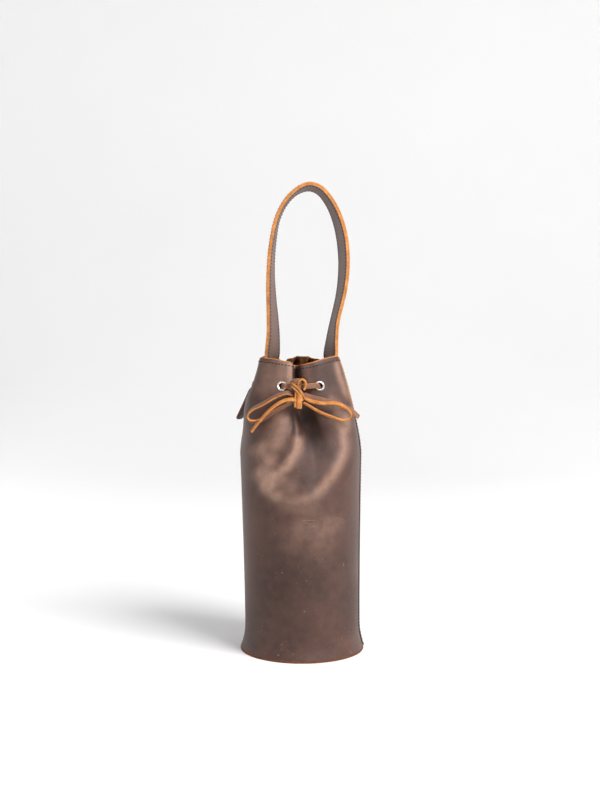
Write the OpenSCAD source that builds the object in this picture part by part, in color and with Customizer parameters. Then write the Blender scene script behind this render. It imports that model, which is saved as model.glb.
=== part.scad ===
/* [Body] */
// Outside diameter of the leather wall just above its flared foot
body_d = 106.4; // [92:0.2:126]
// Height of the mouth's rim above the floor, at its left and right corners
body_h = 274; // [240:1:320]
// Thickness of the body leather
body_t = 1.6; // [1.2:0.1:2.2]
// How far the wall's foot flares out past it
foot_flare = 4.3; // [0:0.1:8]
// Height of the flare above the base
flare_h = 24; // [12:1:40]
// How far the belly swells past the wall, where the pinched front pushes the sides out
belly_swell = 2.7; // [0:0.1:6]
// Height of the belly
belly_h = 184; // [150:1:205]
// How far the mouth leans towards the left of the base's centre
lean = 2.8; // [0:0.1:6]
// Width of the strip on the right side where the panel's two ends lap and are sewn
lap_w = 12; // [6:1:20]
// Thickness that the skived lap adds to the wall
lap_t = 0.7; // [0.3:0.1:1.2]

/* [Base] */
// Thickness of the leather base disc
base_t = 2; // [1.4:0.1:4]
// How far the base disc stands out past the wall's foot
base_margin = 0.3; // [0:0.1:3]
// Thickness of the stiffening board that lies inside on the base
board_t = 2; // [1:0.1:4]

/* [Mouth] */
// Outside width of the drawn-in mouth, from left to right
mouth_w = 72.5; // [64:0.5:88]
// Outside depth of the drawn-in mouth, from its middle to the front
mouth_d = 27; // [22:0.5:34]
// How far the rim dips at the front pleat
rim_dip = 8.5; // [0:0.5:14]
// How far the rim dips behind the handle's feet, beside the gathers
back_dip = 7; // [0:0.5:10]
// Height above the floor where the front pleat fades into the round wall
pleat_foot_h = 138; // [110:1:170]
// Height above the floor where the gathers of the back fade into the round wall
gather_foot_h = 165; // [140:1:190]
// How far the front pleat's top lies left of the mouth's middle
pleat_offset = 3; // [0:0.5:8]
// How much fuller the mouth is behind its right corner, where the panel's ends lap
lap_fullness = 5; // [0:0.5:6]
// How far the gathers of the back lie right of the mouth's middle
gather_offset = 3.5; // [0:0.5:5]
// Turn of the front pleat towards the right on its way down, in degrees
pleat_turn = 18; // [0:1:24]
// Thickness of the facing band that is sewn inside the mouth
facing_t = 1.4; // [1:0.1:2]
// Height of the facing band
facing_h = 42; // [36:1:60]

/* [Drawstring] */
// Width of the flat leather lace
lace_w = 4.6; // [4:0.1:5]
// Thickness of the lace
lace_t = 1.8; // [1.2:0.1:2]
// Depth of the eyelets' middles below the rim
eyelet_drop = 26; // [20:0.5:30]
// Diameter of the clear hole in an eyelet
eyelet_hole_d = 5.8; // [5.4:0.1:6.2]
// Outside diameter of an eyelet's flange
eyelet_flange_d = 9.2; // [8.4:0.1:11]
// Thickness of the eyelet's metal
eyelet_metal = 0.35; // [0.25:0.05:0.5]

/* [Handle] */
// Width of the strap
strap_w = 20; // [14:0.5:22]
// Thickness of each of the strap's two leather plies
ply_t = 1.5; // [1.1:0.1:2]
// Height of the strap's arch above the rim
handle_rise = 158; // [120:1:220]
// Greatest width of the arch
handle_w = 72; // [60:1:90]
// How far the arch's middle lies right of the base's centre
handle_shift = 1.4; // [-2:0.1:4]
// Height above the rim at which the strap bends when it is laid over
bend_h = 12; // [11:0.5:20]

/* [Side tab] */
// Width of the plain leather tab on the left shoulder
tab_w = 14; // [10:0.5:18]
// Width of its neck, which is folded round the lace
tab_neck_w = 7; // [5:0.5:9]
// Length of the tab
tab_l = 40; // [26:1:50]
// Thickness of the tab
tab_t = 1.6; // [1.2:0.1:2.4]

/* [Hidden] */

// Gaps, the overrun of the cuts, and the facets of small and large rounds
glue_gap = 0.1;
run_gap = 0.3;
overrun = 1;
fine = 48;
round_fine = 96;

leather = [0.36, 0.27, 0.24];
flesh = [0.80, 0.52, 0.28];

// Helpers
function clamp01(t) = min(1, max(0, t));
function smooth(t) = let (c = clamp01(t)) c * c * (3 - 2 * c);
function mix(a, b, t) = a + (b - a) * t;
function unit(v) = v / norm(v);
function flat(v) = unit([v.x, v.y, 0]);

// Catmull-Rom curve through points, each span cut in equal steps
function rom(a, b, c, d, t) =
    0.5 * (2 * b + (c - a) * t + (2 * a - 5 * b + 4 * c - d) * t * t
           + (3 * b - 3 * c + d - a) * t * t * t);
function rom_line(p, cuts) = [
    for (i = [0 : len(p) - 2], k = [0 : cuts - 1])
        rom(i == 0 ? 2 * p[0] - p[1] : p[i - 1], p[i], p[i + 1],
            i == len(p) - 2 ? 2 * p[i + 1] - p[i] : p[i + 2], k / cuts),
    p[len(p) - 1]];

// The same line in n equal steps along its length
function lengths(p) = [
    for (i = 0, s = 0; i < len(p); i = i + 1, s = s + (i < len(p) ? norm(p[i] - p[i - 1]) : 0)) s];
function find_span(at, s, lo, hi) =
    hi - lo <= 1 ? lo
    : let (m = floor((lo + hi) / 2)) at[m] <= s ? find_span(at, s, m, hi) : find_span(at, s, lo, m);
function along(p, at, s) =
    let (i = find_span(at, s, 0, len(at) - 1)) mix(p[i], p[i + 1], (s - at[i]) / (at[i + 1] - at[i]));
function even_steps(p, n) =
    let (at = lengths(p), whole = at[len(at) - 1]) [for (k = [0 : n]) along(p, at, whole * k / n)];

// The wall's form: columns round it, and the heights of its rows
wall_columns = 128;
low_row_shares = [0, 0.025, 0.05, 0.08, 0.13, 0.25, 0.42, 0.56, 0.66, 0.75, 0.83, 0.91];
facing_row_shares = [0, 0.25, 0.5, 0.75, 1];
step_deg = 360 / wall_columns;
half_columns = wall_columns / 2;
foot_d = body_d + 2 * foot_flare;
wall_foot = base_t + glue_gap;
facing_foot = body_h - facing_h;
row_heights = [
    for (s = low_row_shares) mix(wall_foot, facing_foot, s),
    for (s = facing_row_shares) mix(facing_foot, body_h, s)];
facing_heights = [for (s = facing_row_shares) mix(facing_foot, body_h, s)];

// Half of the drawn-in mouth's outline, from the inner end of the front pleat round the
// right corner to the middle of the back: shares of half its width and of its front depth
mouth_shares = [
    [0.000, -0.44], [0.044, -0.49], [0.060, -0.67], [0.078, -0.84], [0.150, -0.97],
    [0.285, -1.01], [0.475, -0.98], [0.667, -0.84], [0.867, -0.63], [0.979, -0.50],
    [1.000, -0.37], [0.975, -0.267], [0.830, 0.055], [0.660, 0.37], [0.580, 0.56],
    [0.533, 0.77], [0.440, 0.90], [0.352, 0.78], [0.346, 0.54], [0.308, 0.44],
    [0.268, 0.54], [0.262, 0.78], [0.164, 0.91], [0.064, 0.78], [0.058, 0.54], [0.000, 0.41]];
mouth_half = even_steps(
    rom_line([for (s = mouth_shares) [s.x * mouth_w / 2, s.y * mouth_d]], 6), half_columns);

function mouth_at(a) =
    let (w = abs(a) / 180 * half_columns, i = min(floor(w), half_columns - 1),
         p = mix(mouth_half[i], mouth_half[i + 1], w - i))
    [(a < 0 ? -p.x : p.x) - pleat_offset * smooth(1 - abs(a) / front_deg)
         + lap_fullness * smooth(1 - abs(a - fullness_deg) / fullness_reach_deg)
         + gather_offset * smooth((abs(a) - gather_from_deg) / gather_shift_deg), p.y];

// Panel angles, from the middle of the front: where the front's folds and the back's begin
// and end, where the rim dips, where the lap's fullness is greatest and how far round it is
// felt, from where and over how many degrees the gathers are shifted, and how far round the
// pleat's turn is felt
front_deg = 72;
back_deg = 108;
corner_deg = 78;
dip_deg = 123;
back_dip_deg = 30;
fullness_deg = 110;
fullness_reach_deg = 40;
gather_from_deg = 116;
gather_shift_deg = 20;
turn_deg = 115;
// Powers of the height's share by which the flare, the belly and the shoulder bend
flare_power = 2.4;
belly_power = 1.6;
shoulder_power = 1.55;
pleat_power_less = 0.2;

function wall_r(h) =
    let (foot = pow(clamp01(1 - (h - wall_foot) / flare_h), flare_power),
         belly = pow(clamp01((h - flare_h) / (belly_h - flare_h)), belly_power))
    body_d / 2 + belly_swell * belly + foot_flare * foot;

// Share of the way from the round wall to the drawn-in mouth, at a panel angle and a height
function drawn_in(a, h) =
    let (f = smooth(1 - abs(a) / front_deg), k = smooth((abs(a) - back_deg) / (180 - back_deg)),
         h0 = belly_h + (pleat_foot_h - belly_h) * f + (gather_foot_h - belly_h) * k)
    pow(clamp01((h - h0) / (body_h - h0)), shoulder_power - pleat_power_less * f);

function rim_drop(a, h) =
    (rim_dip * clamp01((corner_deg - abs(a)) / (corner_deg - corner_deg / 4))
        + back_dip * smooth(1 - abs(abs(a) - dip_deg) / back_dip_deg))
    * pow(clamp01((h - pleat_foot_h) / (body_h - pleat_foot_h)), 2);

// A point on the wall's outer face; a is the panel angle, -180 to 180, right is positive
function wall_at(a, h) =
    let (round_a = a + pleat_turn * smooth(1 - abs(a) / turn_deg),
         p = mix(wall_r(h) * [sin(round_a), -cos(round_a)], mouth_at(a), drawn_in(a, h)))
    [p.x - lean * h / body_h, p.y, h - rim_drop(a, h)];
function wall_tangent(a, h) =
    flat(wall_at(a + step_deg / 2, h) - wall_at(a - step_deg / 2, h));
function wall_out(a, h) = let (t = wall_tangent(a, h)) [t.y, -t.x, 0];
function wall_in(a, h, depth) = wall_at(a, h) - depth * wall_out(a, h);
function wall_rise(a, h) = unit(wall_at(a, h + body_t) - wall_at(a, h - body_t));
function wall_normal(a, h) = unit(cross(wall_tangent(a, h), wall_rise(a, h)));

// Rings of points at a depth below the outer face; the lap adds thickness outside
function turn_of(i) = i * step_deg - 180;
lap_deg = lap_w / body_d / PI * 360;
lap_end_deg = 84;
function lap_at(a) = a > lap_end_deg - lap_deg && a <= lap_end_deg ? lap_t : 0;
function wall_rings(heights, depth, lap) = [
    for (h = heights)
        let (ring = [for (i = [0 : wall_columns - 1]) wall_at(turn_of(i), h)])
        [for (i = [0 : wall_columns - 1])
            let (t = flat(ring[(i + 1) % wall_columns] - ring[(i + wall_columns - 1) % wall_columns]))
            ring[i] - (depth - lap * lap_at(turn_of(i))) * [t.y, -t.x, 0]]];

// A closed shell between an outer and an inner stack of rings
module shell(outer, inner) {
    n = len(outer[0]);
    m = len(outer);
    function quad(a, b, c, d) = [[a, b, c], [a, c, d]];
    function o(j, i) = j * n + i % n;
    function q(j, i) = m * n + j * n + i % n;
    faces = [
        for (j = [0 : m - 2], i = [0 : n - 1], f = quad(o(j, i), o(j + 1, i), o(j + 1, i + 1), o(j, i + 1))) f,
        for (j = [0 : m - 2], i = [0 : n - 1], f = quad(q(j, i), q(j, i + 1), q(j + 1, i + 1), q(j + 1, i))) f,
        for (i = [0 : n - 1], f = quad(o(m - 1, i), q(m - 1, i), q(m - 1, i + 1), o(m - 1, i + 1))) f,
        for (i = [0 : n - 1], f = quad(o(0, i), o(0, i + 1), q(0, i + 1), q(0, i))) f];
    polyhedron([for (r = outer, p = r) p, for (r = inner, p = r) p], faces, convexity = 12);
}

// Sweeps
// Frames [place, width direction, thickness direction] along a line of points
function frames(points, hints, closed = false) = [
    for (i = [0 : len(points) - 1])
        let (n = len(points),
             a = points[closed ? (i + n - 1) % n : max(0, i - 1)],
             b = points[closed ? (i + 1) % n : min(n - 1, i + 1)],
             t = unit(b - a), w = unit(hints[i] - (hints[i] * t) * t))
        [points[i], w, cross(t, w)]];

// A section of 4 or 8 points, [along the width, along the thickness], swept along frames
module sweep(path, section, closed = false, flip = false) {
    n = len(section);
    m = len(path);
    last = closed ? m - 1 : m - 2;
    function at(j, i) = (j % m) * n + i % n;
    sides = [for (j = [0 : last], i = [0 : n - 1])
        each flip
            ? [[at(j, i), at(j + 1, i), at(j, i + 1)], [at(j, i + 1), at(j + 1, i), at(j + 1, i + 1)]]
            : [[at(j, i), at(j + 1, i + 1), at(j, i + 1)], [at(j, i), at(j + 1, i), at(j + 1, i + 1)]]];
    ends = closed ? [] : [[for (i = [0 : n - 1]) i], [for (i = [n - 1 : -1 : 0]) (m - 1) * n + i]];
    polyhedron([for (f = path, s = section) f[0] + s.x * f[1] + s.y * f[2]],
        concat(sides, ends), convexity = 8);
}

// The flat lace's cross-section
lace_section_shares = [
    [-0.5, -0.24], [-0.36, -0.5], [0.36, -0.5], [0.5, -0.24],
    [0.5, 0.24], [0.36, 0.5], [-0.36, 0.5], [-0.5, 0.24]];
lace_section = [for (s = lace_section_shares) [s.x * lace_w, s.y * lace_t]];
module lace(points, hint) {
    line = [for (p = points) p + knot_at];
    sweep(frames(line, [for (p = line) hint]), lace_section);
}

// The six eyelets: their height, and their panel angles in order round the mouth from the
// front right
eyelet_h = body_h - eyelet_drop;
eyelet_degs = [31, 91, 112.5, -113, -82, -31.5];
mouth_depth = body_t + glue_gap + facing_t;
eyelet_seat = run_gap + glue_gap;
barrel_r = eyelet_hole_d / 2 + eyelet_metal;
hole_r = barrel_r + glue_gap;
// Height on the panel at which a column reaches the eyelets' level
function panel_h(a, z) = z + rim_drop(a, z + rim_drop(a, z));
module at_eyelet(a) {
    p = wall_at(a, panel_h(a, eyelet_h));
    out = wall_normal(a, panel_h(a, eyelet_h));
    translate(p) rotate([0, acos(out.z), atan2(out.y, out.x)]) children();
}
module eyelet_holes() {
    for (a = eyelet_degs)
        at_eyelet(a) translate([0, 0, -mouth_depth - overrun]) cylinder(
            h = mouth_depth + 2 * overrun, r = hole_r, $fn = fine);
}

// The strap's line, from one sewn end, which stops above the side eyelets, over to the other
sewn_gap = 1.4;
sewn_l = eyelet_drop - eyelet_flange_d / 2 - sewn_gap;
ply_gap = 2 * glue_gap;
strap_t = 2 * ply_t + ply_gap;
strap_depth = mouth_depth + 3 * run_gap + strap_t / 2;
// The panel angles of the two sewn ends; the right one sits a little further forward
left_foot_deg = 86;
right_foot_deg = 84.5;
arch_y = -1;
// How far each leg leans to the right just above the rim
left_lean = 1;
right_lean = 3;
// The arch, from just above the left foot over to the right: shares of half its width and of
// its rise, and the turn of the strap's inner face towards the front
arch_shares = [
    [-0.830, 0.17], [-0.835, 0.30], [-0.810, 0.45], [-0.785, 0.60], [-0.705, 0.735],
    [-0.580, 0.82], [-0.390, 0.90], [-0.165, 0.960], [0.160, 0.990], [0.415, 0.975],
    [0.640, 0.925], [0.820, 0.855], [0.960, 0.765], [1.040, 0.665], [1.065, 0.570],
    [1.040, 0.465], [0.965, 0.355], [0.880, 0.250], [0.820, 0.150]];
arch_turns = [24, 17, 13, 12, 11, 11, 11, 11, 11, 11, 12, 13, 14, 16, 18, 20, 22, 25, 29];
function foot_deg(side) = side < 0 ? -left_foot_deg : right_foot_deg;
function foot_sag(side, h) = (1 - drawn_in(abs(foot_deg(side)), h)) * strap_w * strap_w / 4 / body_d;
function foot_point(side, h) = wall_in(foot_deg(side), h, strap_depth + foot_sag(side, h));
function foot_width(side, h) = let (t = wall_tangent(foot_deg(side), h)) t.y < 0 ? -t : t;
foot_heights = [body_h - sewn_l, body_h - sewn_l / 2, body_h, body_h + bend_h / 2];
function capped(h) = min(h, body_h);
function above(side, h) =
    let (p = foot_point(side, capped(h)))
    h <= body_h ? p
    : p + [(side < 0 ? left_lean : right_lean) * (h - body_h) / (bend_h / 2), 0, h - body_h];
arch_points = [for (s = arch_shares)
    [s.x * handle_w / 2 + handle_shift, arch_y, body_h + s.y * handle_rise]];
strap_points = concat(
    [for (h = foot_heights) above(-1, h)], arch_points,
    [for (i = [len(foot_heights) - 1 : -1 : 0]) above(1, foot_heights[i])]);
function arch_width(i) =
    let (n = len(arch_points), t = unit(arch_points[min(i + 1, n - 1)] - arch_points[max(i - 1, 0)]),
         inward = [t.z, 0, -t.x])
    cos(arch_turns[i]) * [0, 1, 0] + sin(arch_turns[i]) * inward;
strap_widths = concat(
    [for (h = foot_heights) foot_width(-1, capped(h))], [for (i = [0 : len(arch_points) - 1]) arch_width(i)],
    [for (i = [len(foot_heights) - 1 : -1 : 0]) foot_width(1, capped(foot_heights[i]))]);
strap_cuts = 2;
strap_frames = frames(rom_line(strap_points, strap_cuts), rom_line(strap_widths, strap_cuts));
// A ply's section, from one depth of the strap to another
function ply_section(lo, hi) = [
    [-strap_w / 2, lo], [strap_w / 2, lo], [strap_w / 2, hi], [-strap_w / 2, hi]];

// The bend above each sewn end, on which the strap is laid over
bend_r = strap_w / 2 + run_gap;
// The bend lies between the arch's plane and the middle of the sewn ends
bend_share = 0.5;
bend_z = body_h + bend_h;
bend_y = mix(arch_y, (foot_point(-1, body_h).y + foot_point(1, body_h).y) / 2, bend_share);
module bend_cut(r) {
    translate([-handle_w, bend_y, bend_z]) rotate([0, 90, 0]) cylinder(h = 2 * handle_w, r = r, $fn = fine);
}
module below_bend() {
    translate([-handle_w, -handle_w, 0]) cube([2 * handle_w, 2 * handle_w, bend_z]);
}

// The lace's held run round the mouth
lace_out = eyelet_metal + eyelet_seat + run_gap + lace_t / 2;
washer_depth = mouth_depth + 3 * eyelet_seat;
lace_inside = washer_depth + eyelet_metal + 2 * run_gap + lace_t / 2;
pass_share = 0.5;
hop_share = 1.15;
out_share = 0.9;
in_share = 0.95;
function level(a) = panel_h(a, eyelet_h);
function beside(a, depth, aside) =
    wall_at(a, level(a)) - depth * wall_normal(a, level(a)) + aside * wall_tangent(a, level(a));
// From outside to inside through an eyelet, walking with the panel angle rising, or back
function pass(a, dir) = [
    beside(a, -lace_out, -dir * eyelet_flange_d / 2 * hop_share),
    beside(a, -lace_out * out_share, -dir * eyelet_hole_d / 2 * pass_share),
    beside(a, mouth_depth / 2, 0),
    beside(a, lace_inside * in_share, dir * eyelet_hole_d / 2 * pass_share),
    beside(a, lace_inside, dir * eyelet_flange_d / 2 * hop_share)];
function back(p) = [for (i = [len(p) - 1 : -1 : 0]) p[i]];
// The same without the last step along the inside, where the lace leaves straight across
function short(p) = [for (i = [0 : len(p) - 2]) p[i]];

function pass_hints(a) = [for (i = [0 : 4]) wall_rise(a, level(a))];
function run_hints(a0, a1, n) = [
    for (k = [2 : n - 1]) let (a = mix(a0, a1, k / (n + 1))) wall_rise(a, level(a))];

// The tab hangs on the stretch between the two left eyelets
tab_at_deg = -100.5;
tab_sag = 3;
tab_bore_r = lace_w / 2 + run_gap;
tab_stand = tab_bore_r + tab_t + run_gap + tab_sag / 2;
function tab_axis(aside) = beside(tab_at_deg, -tab_stand, aside) - [0, 0, tab_sag];

// The bow's place on the front stretch, off the middle between the two front eyelets
knot_aside = 2;
knot_ahead = 3.2;
front_right = beside(eyelet_degs[0], -lace_out, 0);
front_left = beside(eyelet_degs[5], -lace_out, 0);
knot_x = (front_right.x + front_left.x) / 2 - knot_aside;
knot_y = min(front_right.y, front_left.y) - knot_ahead;
knot_at = [knot_x, knot_y, eyelet_h];
knot_l = 9;
knot_bore_r = lace_w / 2 + run_gap + glue_gap;
knot_wall = 2;
knot_r = knot_bore_r + knot_wall;
front_stretch = [
    [knot_x - knot_l / 2 - overrun, knot_y, eyelet_h], [knot_x, knot_y, eyelet_h],
    [knot_x + knot_l / 2 + overrun, knot_y, eyelet_h]];
function wall_run(a0, a1, n) = [
    for (k = [2 : n - 1]) let (a = mix(a0, a1, k / (n + 1))) beside(a, lace_inside + run_gap, 0)];
back_bow = 3;
back_run_shares = [0.07, 0.3, 0.7, 0.93];
function back_run() =
    let (p = beside(eyelet_degs[2], lace_inside + lace_t, 0),
         q = beside(eyelet_degs[3], lace_inside + lace_t, 0))
    [for (s = back_run_shares) mix(p, q, s) - [0, back_bow * sin(180 * s), 0]];
lace_loop_points = concat(
    front_stretch,
    pass(eyelet_degs[0], 1), wall_run(eyelet_degs[0], eyelet_degs[1], 4), back(pass(eyelet_degs[1], -1)),
    short(pass(eyelet_degs[2], 1)), back_run(), back(short(pass(eyelet_degs[3], -1))),
    [for (s = [-1, 1]) tab_axis(s * (tab_neck_w / 2 + overrun))],
    pass(eyelet_degs[4], 1), wall_run(eyelet_degs[4], eyelet_degs[5], 4), back(pass(eyelet_degs[5], -1)));

lace_loop_hints = concat(
    [for (p = front_stretch) [0, 0, 1]],
    pass_hints(eyelet_degs[0]), run_hints(eyelet_degs[0], eyelet_degs[1], 4), pass_hints(eyelet_degs[1]),
    short(pass_hints(eyelet_degs[2])), [for (p = back_run()) [0, 0, 1]], short(pass_hints(eyelet_degs[3])),
    [for (s = [-1, 1]) wall_rise(tab_at_deg, level(tab_at_deg))],
    pass_hints(eyelet_degs[4]), run_hints(eyelet_degs[4], eyelet_degs[5], 4), pass_hints(eyelet_degs[5]));

// Routes of the bow's loops and tails, measured from the middle of the lace in the knot
loop_left_route = [
    [-5.3, -3.5, -7], [-11.3, -5, -5.5], [-21.3, -5.5, -9], [-32.3, -4.5, -15.5], [-40.8, -2.5, -21],
    [-44.3, -1.5, -26.5], [-42.3, -1.5, -31], [-37.3, -2.5, -31.5], [-30.3, -4, -28], [-21.3, -5.5, -21.5],
    [-12.3, -6, -16.5], [-4.8, -5.5, -13]];
loop_right_route = [
    [5.2, -6, -10], [11.7, -7.5, -13], [21.7, -8, -14.5], [32.7, -7, -14.5], [40.2, -5.5, -17.5],
    [45.7, -4, -22], [46.7, -3.5, -26], [44.2, -3.5, -29], [38.7, -4.5, -30], [29.7, -6, -27],
    [19.7, -7.5, -23], [11.7, -7.5, -18.5], [4.7, -5.5, -14.5]];
tail_left_route = [
    [-2.3, -9.8, -11.5], [-8.3, -11, -11], [-15.3, -11.5, -13], [-22.3, -11, -17.5], [-29.3, -10, -24],
    [-35.3, -8.5, -31], [-39.3, -7.5, -36], [-42.3, -6.5, -40]];
tail_right_route = [
    [5.2, -2.5, -6], [12.7, -2.5, -7], [21.7, -2, -8], [31.7, -0.5, -10], [40.7, 1, -14.5],
    [48.7, 2.5, -21.5], [54.7, 3.5, -27.5]];

// The knot's turns, measured from the middle of the lace in its bore: two that cross in front,
// the small loop on top and the band that hangs down
knot_core_at = [0, -3.5, -8.5];
knot_core_r = 4.6;
knot_sides = 12;
knot_turns = [
    [[-3.5, 2, 4.2], [-3.5, -3, 5], [-2, -5.6, 1.5], [0.5, -6.6, -3], [2, -6.5, -7], [3, -4, -11]],
    [[-3.5, -1, 2.5], [-3, -5.6, 0], [-1.5, -7, -4], [0, -7.6, -8], [1, -6, -12.5]],
    [[-2.5, -4.5, 1], [-3, -5.2, 5], [-1, -5.2, 8], [2.5, -5.2, 7.6], [3.6, -5.4, 4], [2.5, -5.2, 0]],
    [[0, -6, -1], [0.6, -8.8, -5], [0.5, -9.4, -11], [-0.3, -8.6, -18.5]]];
knot_hints = [[0.8, 0, 0.6], [0.8, 0, 0.6], [0, 1, 0], [1, 0, 0]];

// How the tab hangs
tab_lean = 28;
tab_skew = 14;
tab_seat_share = 0.9;

module body_panel() {
    color(leather) difference() {
        shell(wall_rings(row_heights, 0, 1), wall_rings(row_heights, body_t, 0));
        eyelet_holes();
    }
}
module mouth_facing() {
    depth = body_t + glue_gap;
    color(flesh) difference() {
        shell(wall_rings(facing_heights, depth, 0), wall_rings(facing_heights, depth + facing_t, 0));
        eyelet_holes();
    }
}
module base_disc() {
    color(leather) cylinder(h = base_t, r = foot_d / 2 + base_margin, $fn = round_fine);
}
module base_board() {
    lift = base_t + glue_gap;
    color([0.55, 0.45, 0.35]) translate([0, 0, lift])
        cylinder(h = board_t, r = wall_r(lift + board_t) - body_t - run_gap, $fn = round_fine);
}
module eyelets() {
    r0 = eyelet_hole_d / 2;
    r1 = eyelet_flange_d / 2;
    color("silver") for (a = eyelet_degs) at_eyelet(a) rotate_extrude($fn = fine) polygon([
        [r0, -washer_depth], [barrel_r, -washer_depth],
        [barrel_r, eyelet_seat], [r1, eyelet_seat], [r1, eyelet_seat + eyelet_metal / 2],
        [r1 - eyelet_metal, eyelet_seat + eyelet_metal], [r0 + eyelet_metal, eyelet_seat + eyelet_metal],
        [r0, eyelet_seat + eyelet_metal / 2]]);
}
module eyelet_washers() {
    r0 = eyelet_hole_d / 2;
    r1 = eyelet_flange_d / 2;
    color("silver") for (a = eyelet_degs)
        at_eyelet(a) translate([0, 0, -washer_depth - eyelet_metal])
            difference() {
                cylinder(h = eyelet_metal, r = r1, $fn = fine);
                translate([0, 0, -overrun]) cylinder(h = eyelet_metal + 2 * overrun, r = r0, $fn = fine);
            }
}
module strap_outer_ply() {
    color(leather) difference() {
        sweep(strap_frames, ply_section(-strap_t / 2, -ply_gap / 2));
        below_bend();
        bend_cut(bend_r + run_gap);
    }
}
module strap_inner_ply() {
    color(leather) difference() {
        sweep(strap_frames, ply_section(ply_gap / 2, strap_t / 2), flip = true);
        below_bend();
        bend_cut(bend_r + run_gap);
    }
}
module strap_end(side) {
    half = [for (f = strap_frames) if (side * (f[0].x + lean) > 0 && f[0].z < bend_z + 3 * bend_r) f];
    color(leather) intersection() {
        sweep(half, ply_section(-strap_t / 2, strap_t / 2));
        union() {
            below_bend();
            bend_cut(bend_r);
        }
    }
}
module strap_end_left() { strap_end(-1); }
module strap_end_right() { strap_end(1); }
module lace_round_mouth() {
    color(leather) sweep(frames(lace_loop_points, lace_loop_hints, true), lace_section, true);
}
module bow_knot() {
    color(flesh) difference() {
        union() {
            translate([knot_x - knot_l / 2, knot_y, eyelet_h]) rotate([0, 90, 0])
                cylinder(h = knot_l, r = knot_r, $fn = knot_sides);
            translate(knot_at + knot_core_at) sphere(r = knot_core_r, $fn = knot_sides);
            for (i = [0 : len(knot_turns) - 1])
                lace(knot_turns[i], knot_hints[i]);
        }
        translate([knot_x - knot_l, knot_y, eyelet_h]) rotate([0, 90, 0])
            cylinder(h = 2 * knot_l, r = knot_bore_r, $fn = fine);
    }
}
module bow_loop_left() { color(flesh) lace(loop_left_route, [0, 0.8, 0.6]); }
module bow_loop_right() { color(flesh) lace(loop_right_route, [0, 0.85, 0.5]); }
module lace_tail_left() { color(flesh) lace(tail_left_route, [0, 1, 0.1]); }
module lace_tail_right() { color(flesh) lace(tail_right_route, [0, 0.5, 0.85]); }
module side_tab() {
    t = wall_tangent(tab_at_deg, level(tab_at_deg));
    n = tab_neck_w / 2;
    w = tab_w / 2;
    color(leather) translate(tab_axis(0)) rotate([0, 0, atan2(t.y, t.x)]) difference() {
        union() {
            rotate([0, 90, 0])
                cylinder(h = tab_neck_w, r = tab_bore_r + tab_t, center = true, $fn = fine);
            rotate([90 - tab_lean, 0, 0]) translate([0, 0, tab_bore_r - tab_t * (1 - tab_seat_share)])
                rotate([0, 0, -tab_skew]) linear_extrude(tab_t)
                    polygon([[-n, 0], [-n, -tab_neck_w], [-w, -2 * tab_neck_w], [-w, -tab_l],
                             [w, -tab_l], [w, -2 * tab_neck_w], [n, -tab_neck_w], [n, 0]]);
        }
        rotate([0, 90, 0])
            cylinder(h = tab_w + 2 * overrun, r = tab_bore_r, center = true, $fn = fine);
    }
}

body_panel();
base_disc();
base_board();
mouth_facing();
strap_outer_ply();
strap_inner_ply();
strap_end_left();
strap_end_right();
eyelets();
eyelet_washers();
lace_round_mouth();
bow_knot();
bow_loop_left();
bow_loop_right();
lace_tail_left();
lace_tail_right();
side_tab();
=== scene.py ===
import logging
import math
from contextlib import contextmanager
from dataclasses import dataclass, field
from enum import Enum
from typing import Iterator, Sequence

import bpy
import numpy as np
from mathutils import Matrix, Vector


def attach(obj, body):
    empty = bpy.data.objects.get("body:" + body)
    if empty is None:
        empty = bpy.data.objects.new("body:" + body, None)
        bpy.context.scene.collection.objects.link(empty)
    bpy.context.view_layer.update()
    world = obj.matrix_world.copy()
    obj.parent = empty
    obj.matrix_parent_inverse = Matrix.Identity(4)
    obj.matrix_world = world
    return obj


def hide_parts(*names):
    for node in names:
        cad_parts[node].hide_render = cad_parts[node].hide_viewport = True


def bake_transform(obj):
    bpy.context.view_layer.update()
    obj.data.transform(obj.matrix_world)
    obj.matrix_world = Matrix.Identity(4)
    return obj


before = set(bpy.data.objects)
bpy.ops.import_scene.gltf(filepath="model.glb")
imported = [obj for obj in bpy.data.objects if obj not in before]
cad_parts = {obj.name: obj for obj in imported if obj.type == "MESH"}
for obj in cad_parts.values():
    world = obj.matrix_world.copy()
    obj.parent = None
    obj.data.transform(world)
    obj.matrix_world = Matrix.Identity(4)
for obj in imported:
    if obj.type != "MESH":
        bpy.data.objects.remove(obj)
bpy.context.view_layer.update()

log = logging.getLogger("bottle_carrier")
Array = np.ndarray
Material, Node, Piece = bpy.types.Material, bpy.types.Node, bpy.types.Object
Socket = bpy.types.NodeSocket
Point = tuple[float, float, float]
Span = tuple[float, float]
MM = 0.001
UP = np.array([0, 0, 1.0])
# the eyelets' sheet metal, how proud they sit, and the wall with its facing that they hold
METAL, SEAT, STACK = 0.35, 0.4, 3.1


def smooth(t: Array | float) -> Array:
    """Returns t held between 0 and 1 and eased at both ends."""
    c = np.clip(t, 0, 1)
    return c * c * (3 - 2 * c)


def grown(value: Array | float, span: Span) -> Array:
    """Returns 0 up to the span's first number, and eases to 1 over as much as its second."""
    return smooth((value - span[0]) / span[1])


def unit(v: Array) -> Array:
    """Returns the vectors of an array, each made one long."""
    n = np.linalg.norm(v, axis=-1, keepdims=True)
    return v / np.maximum(n, 1e-12)


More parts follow.
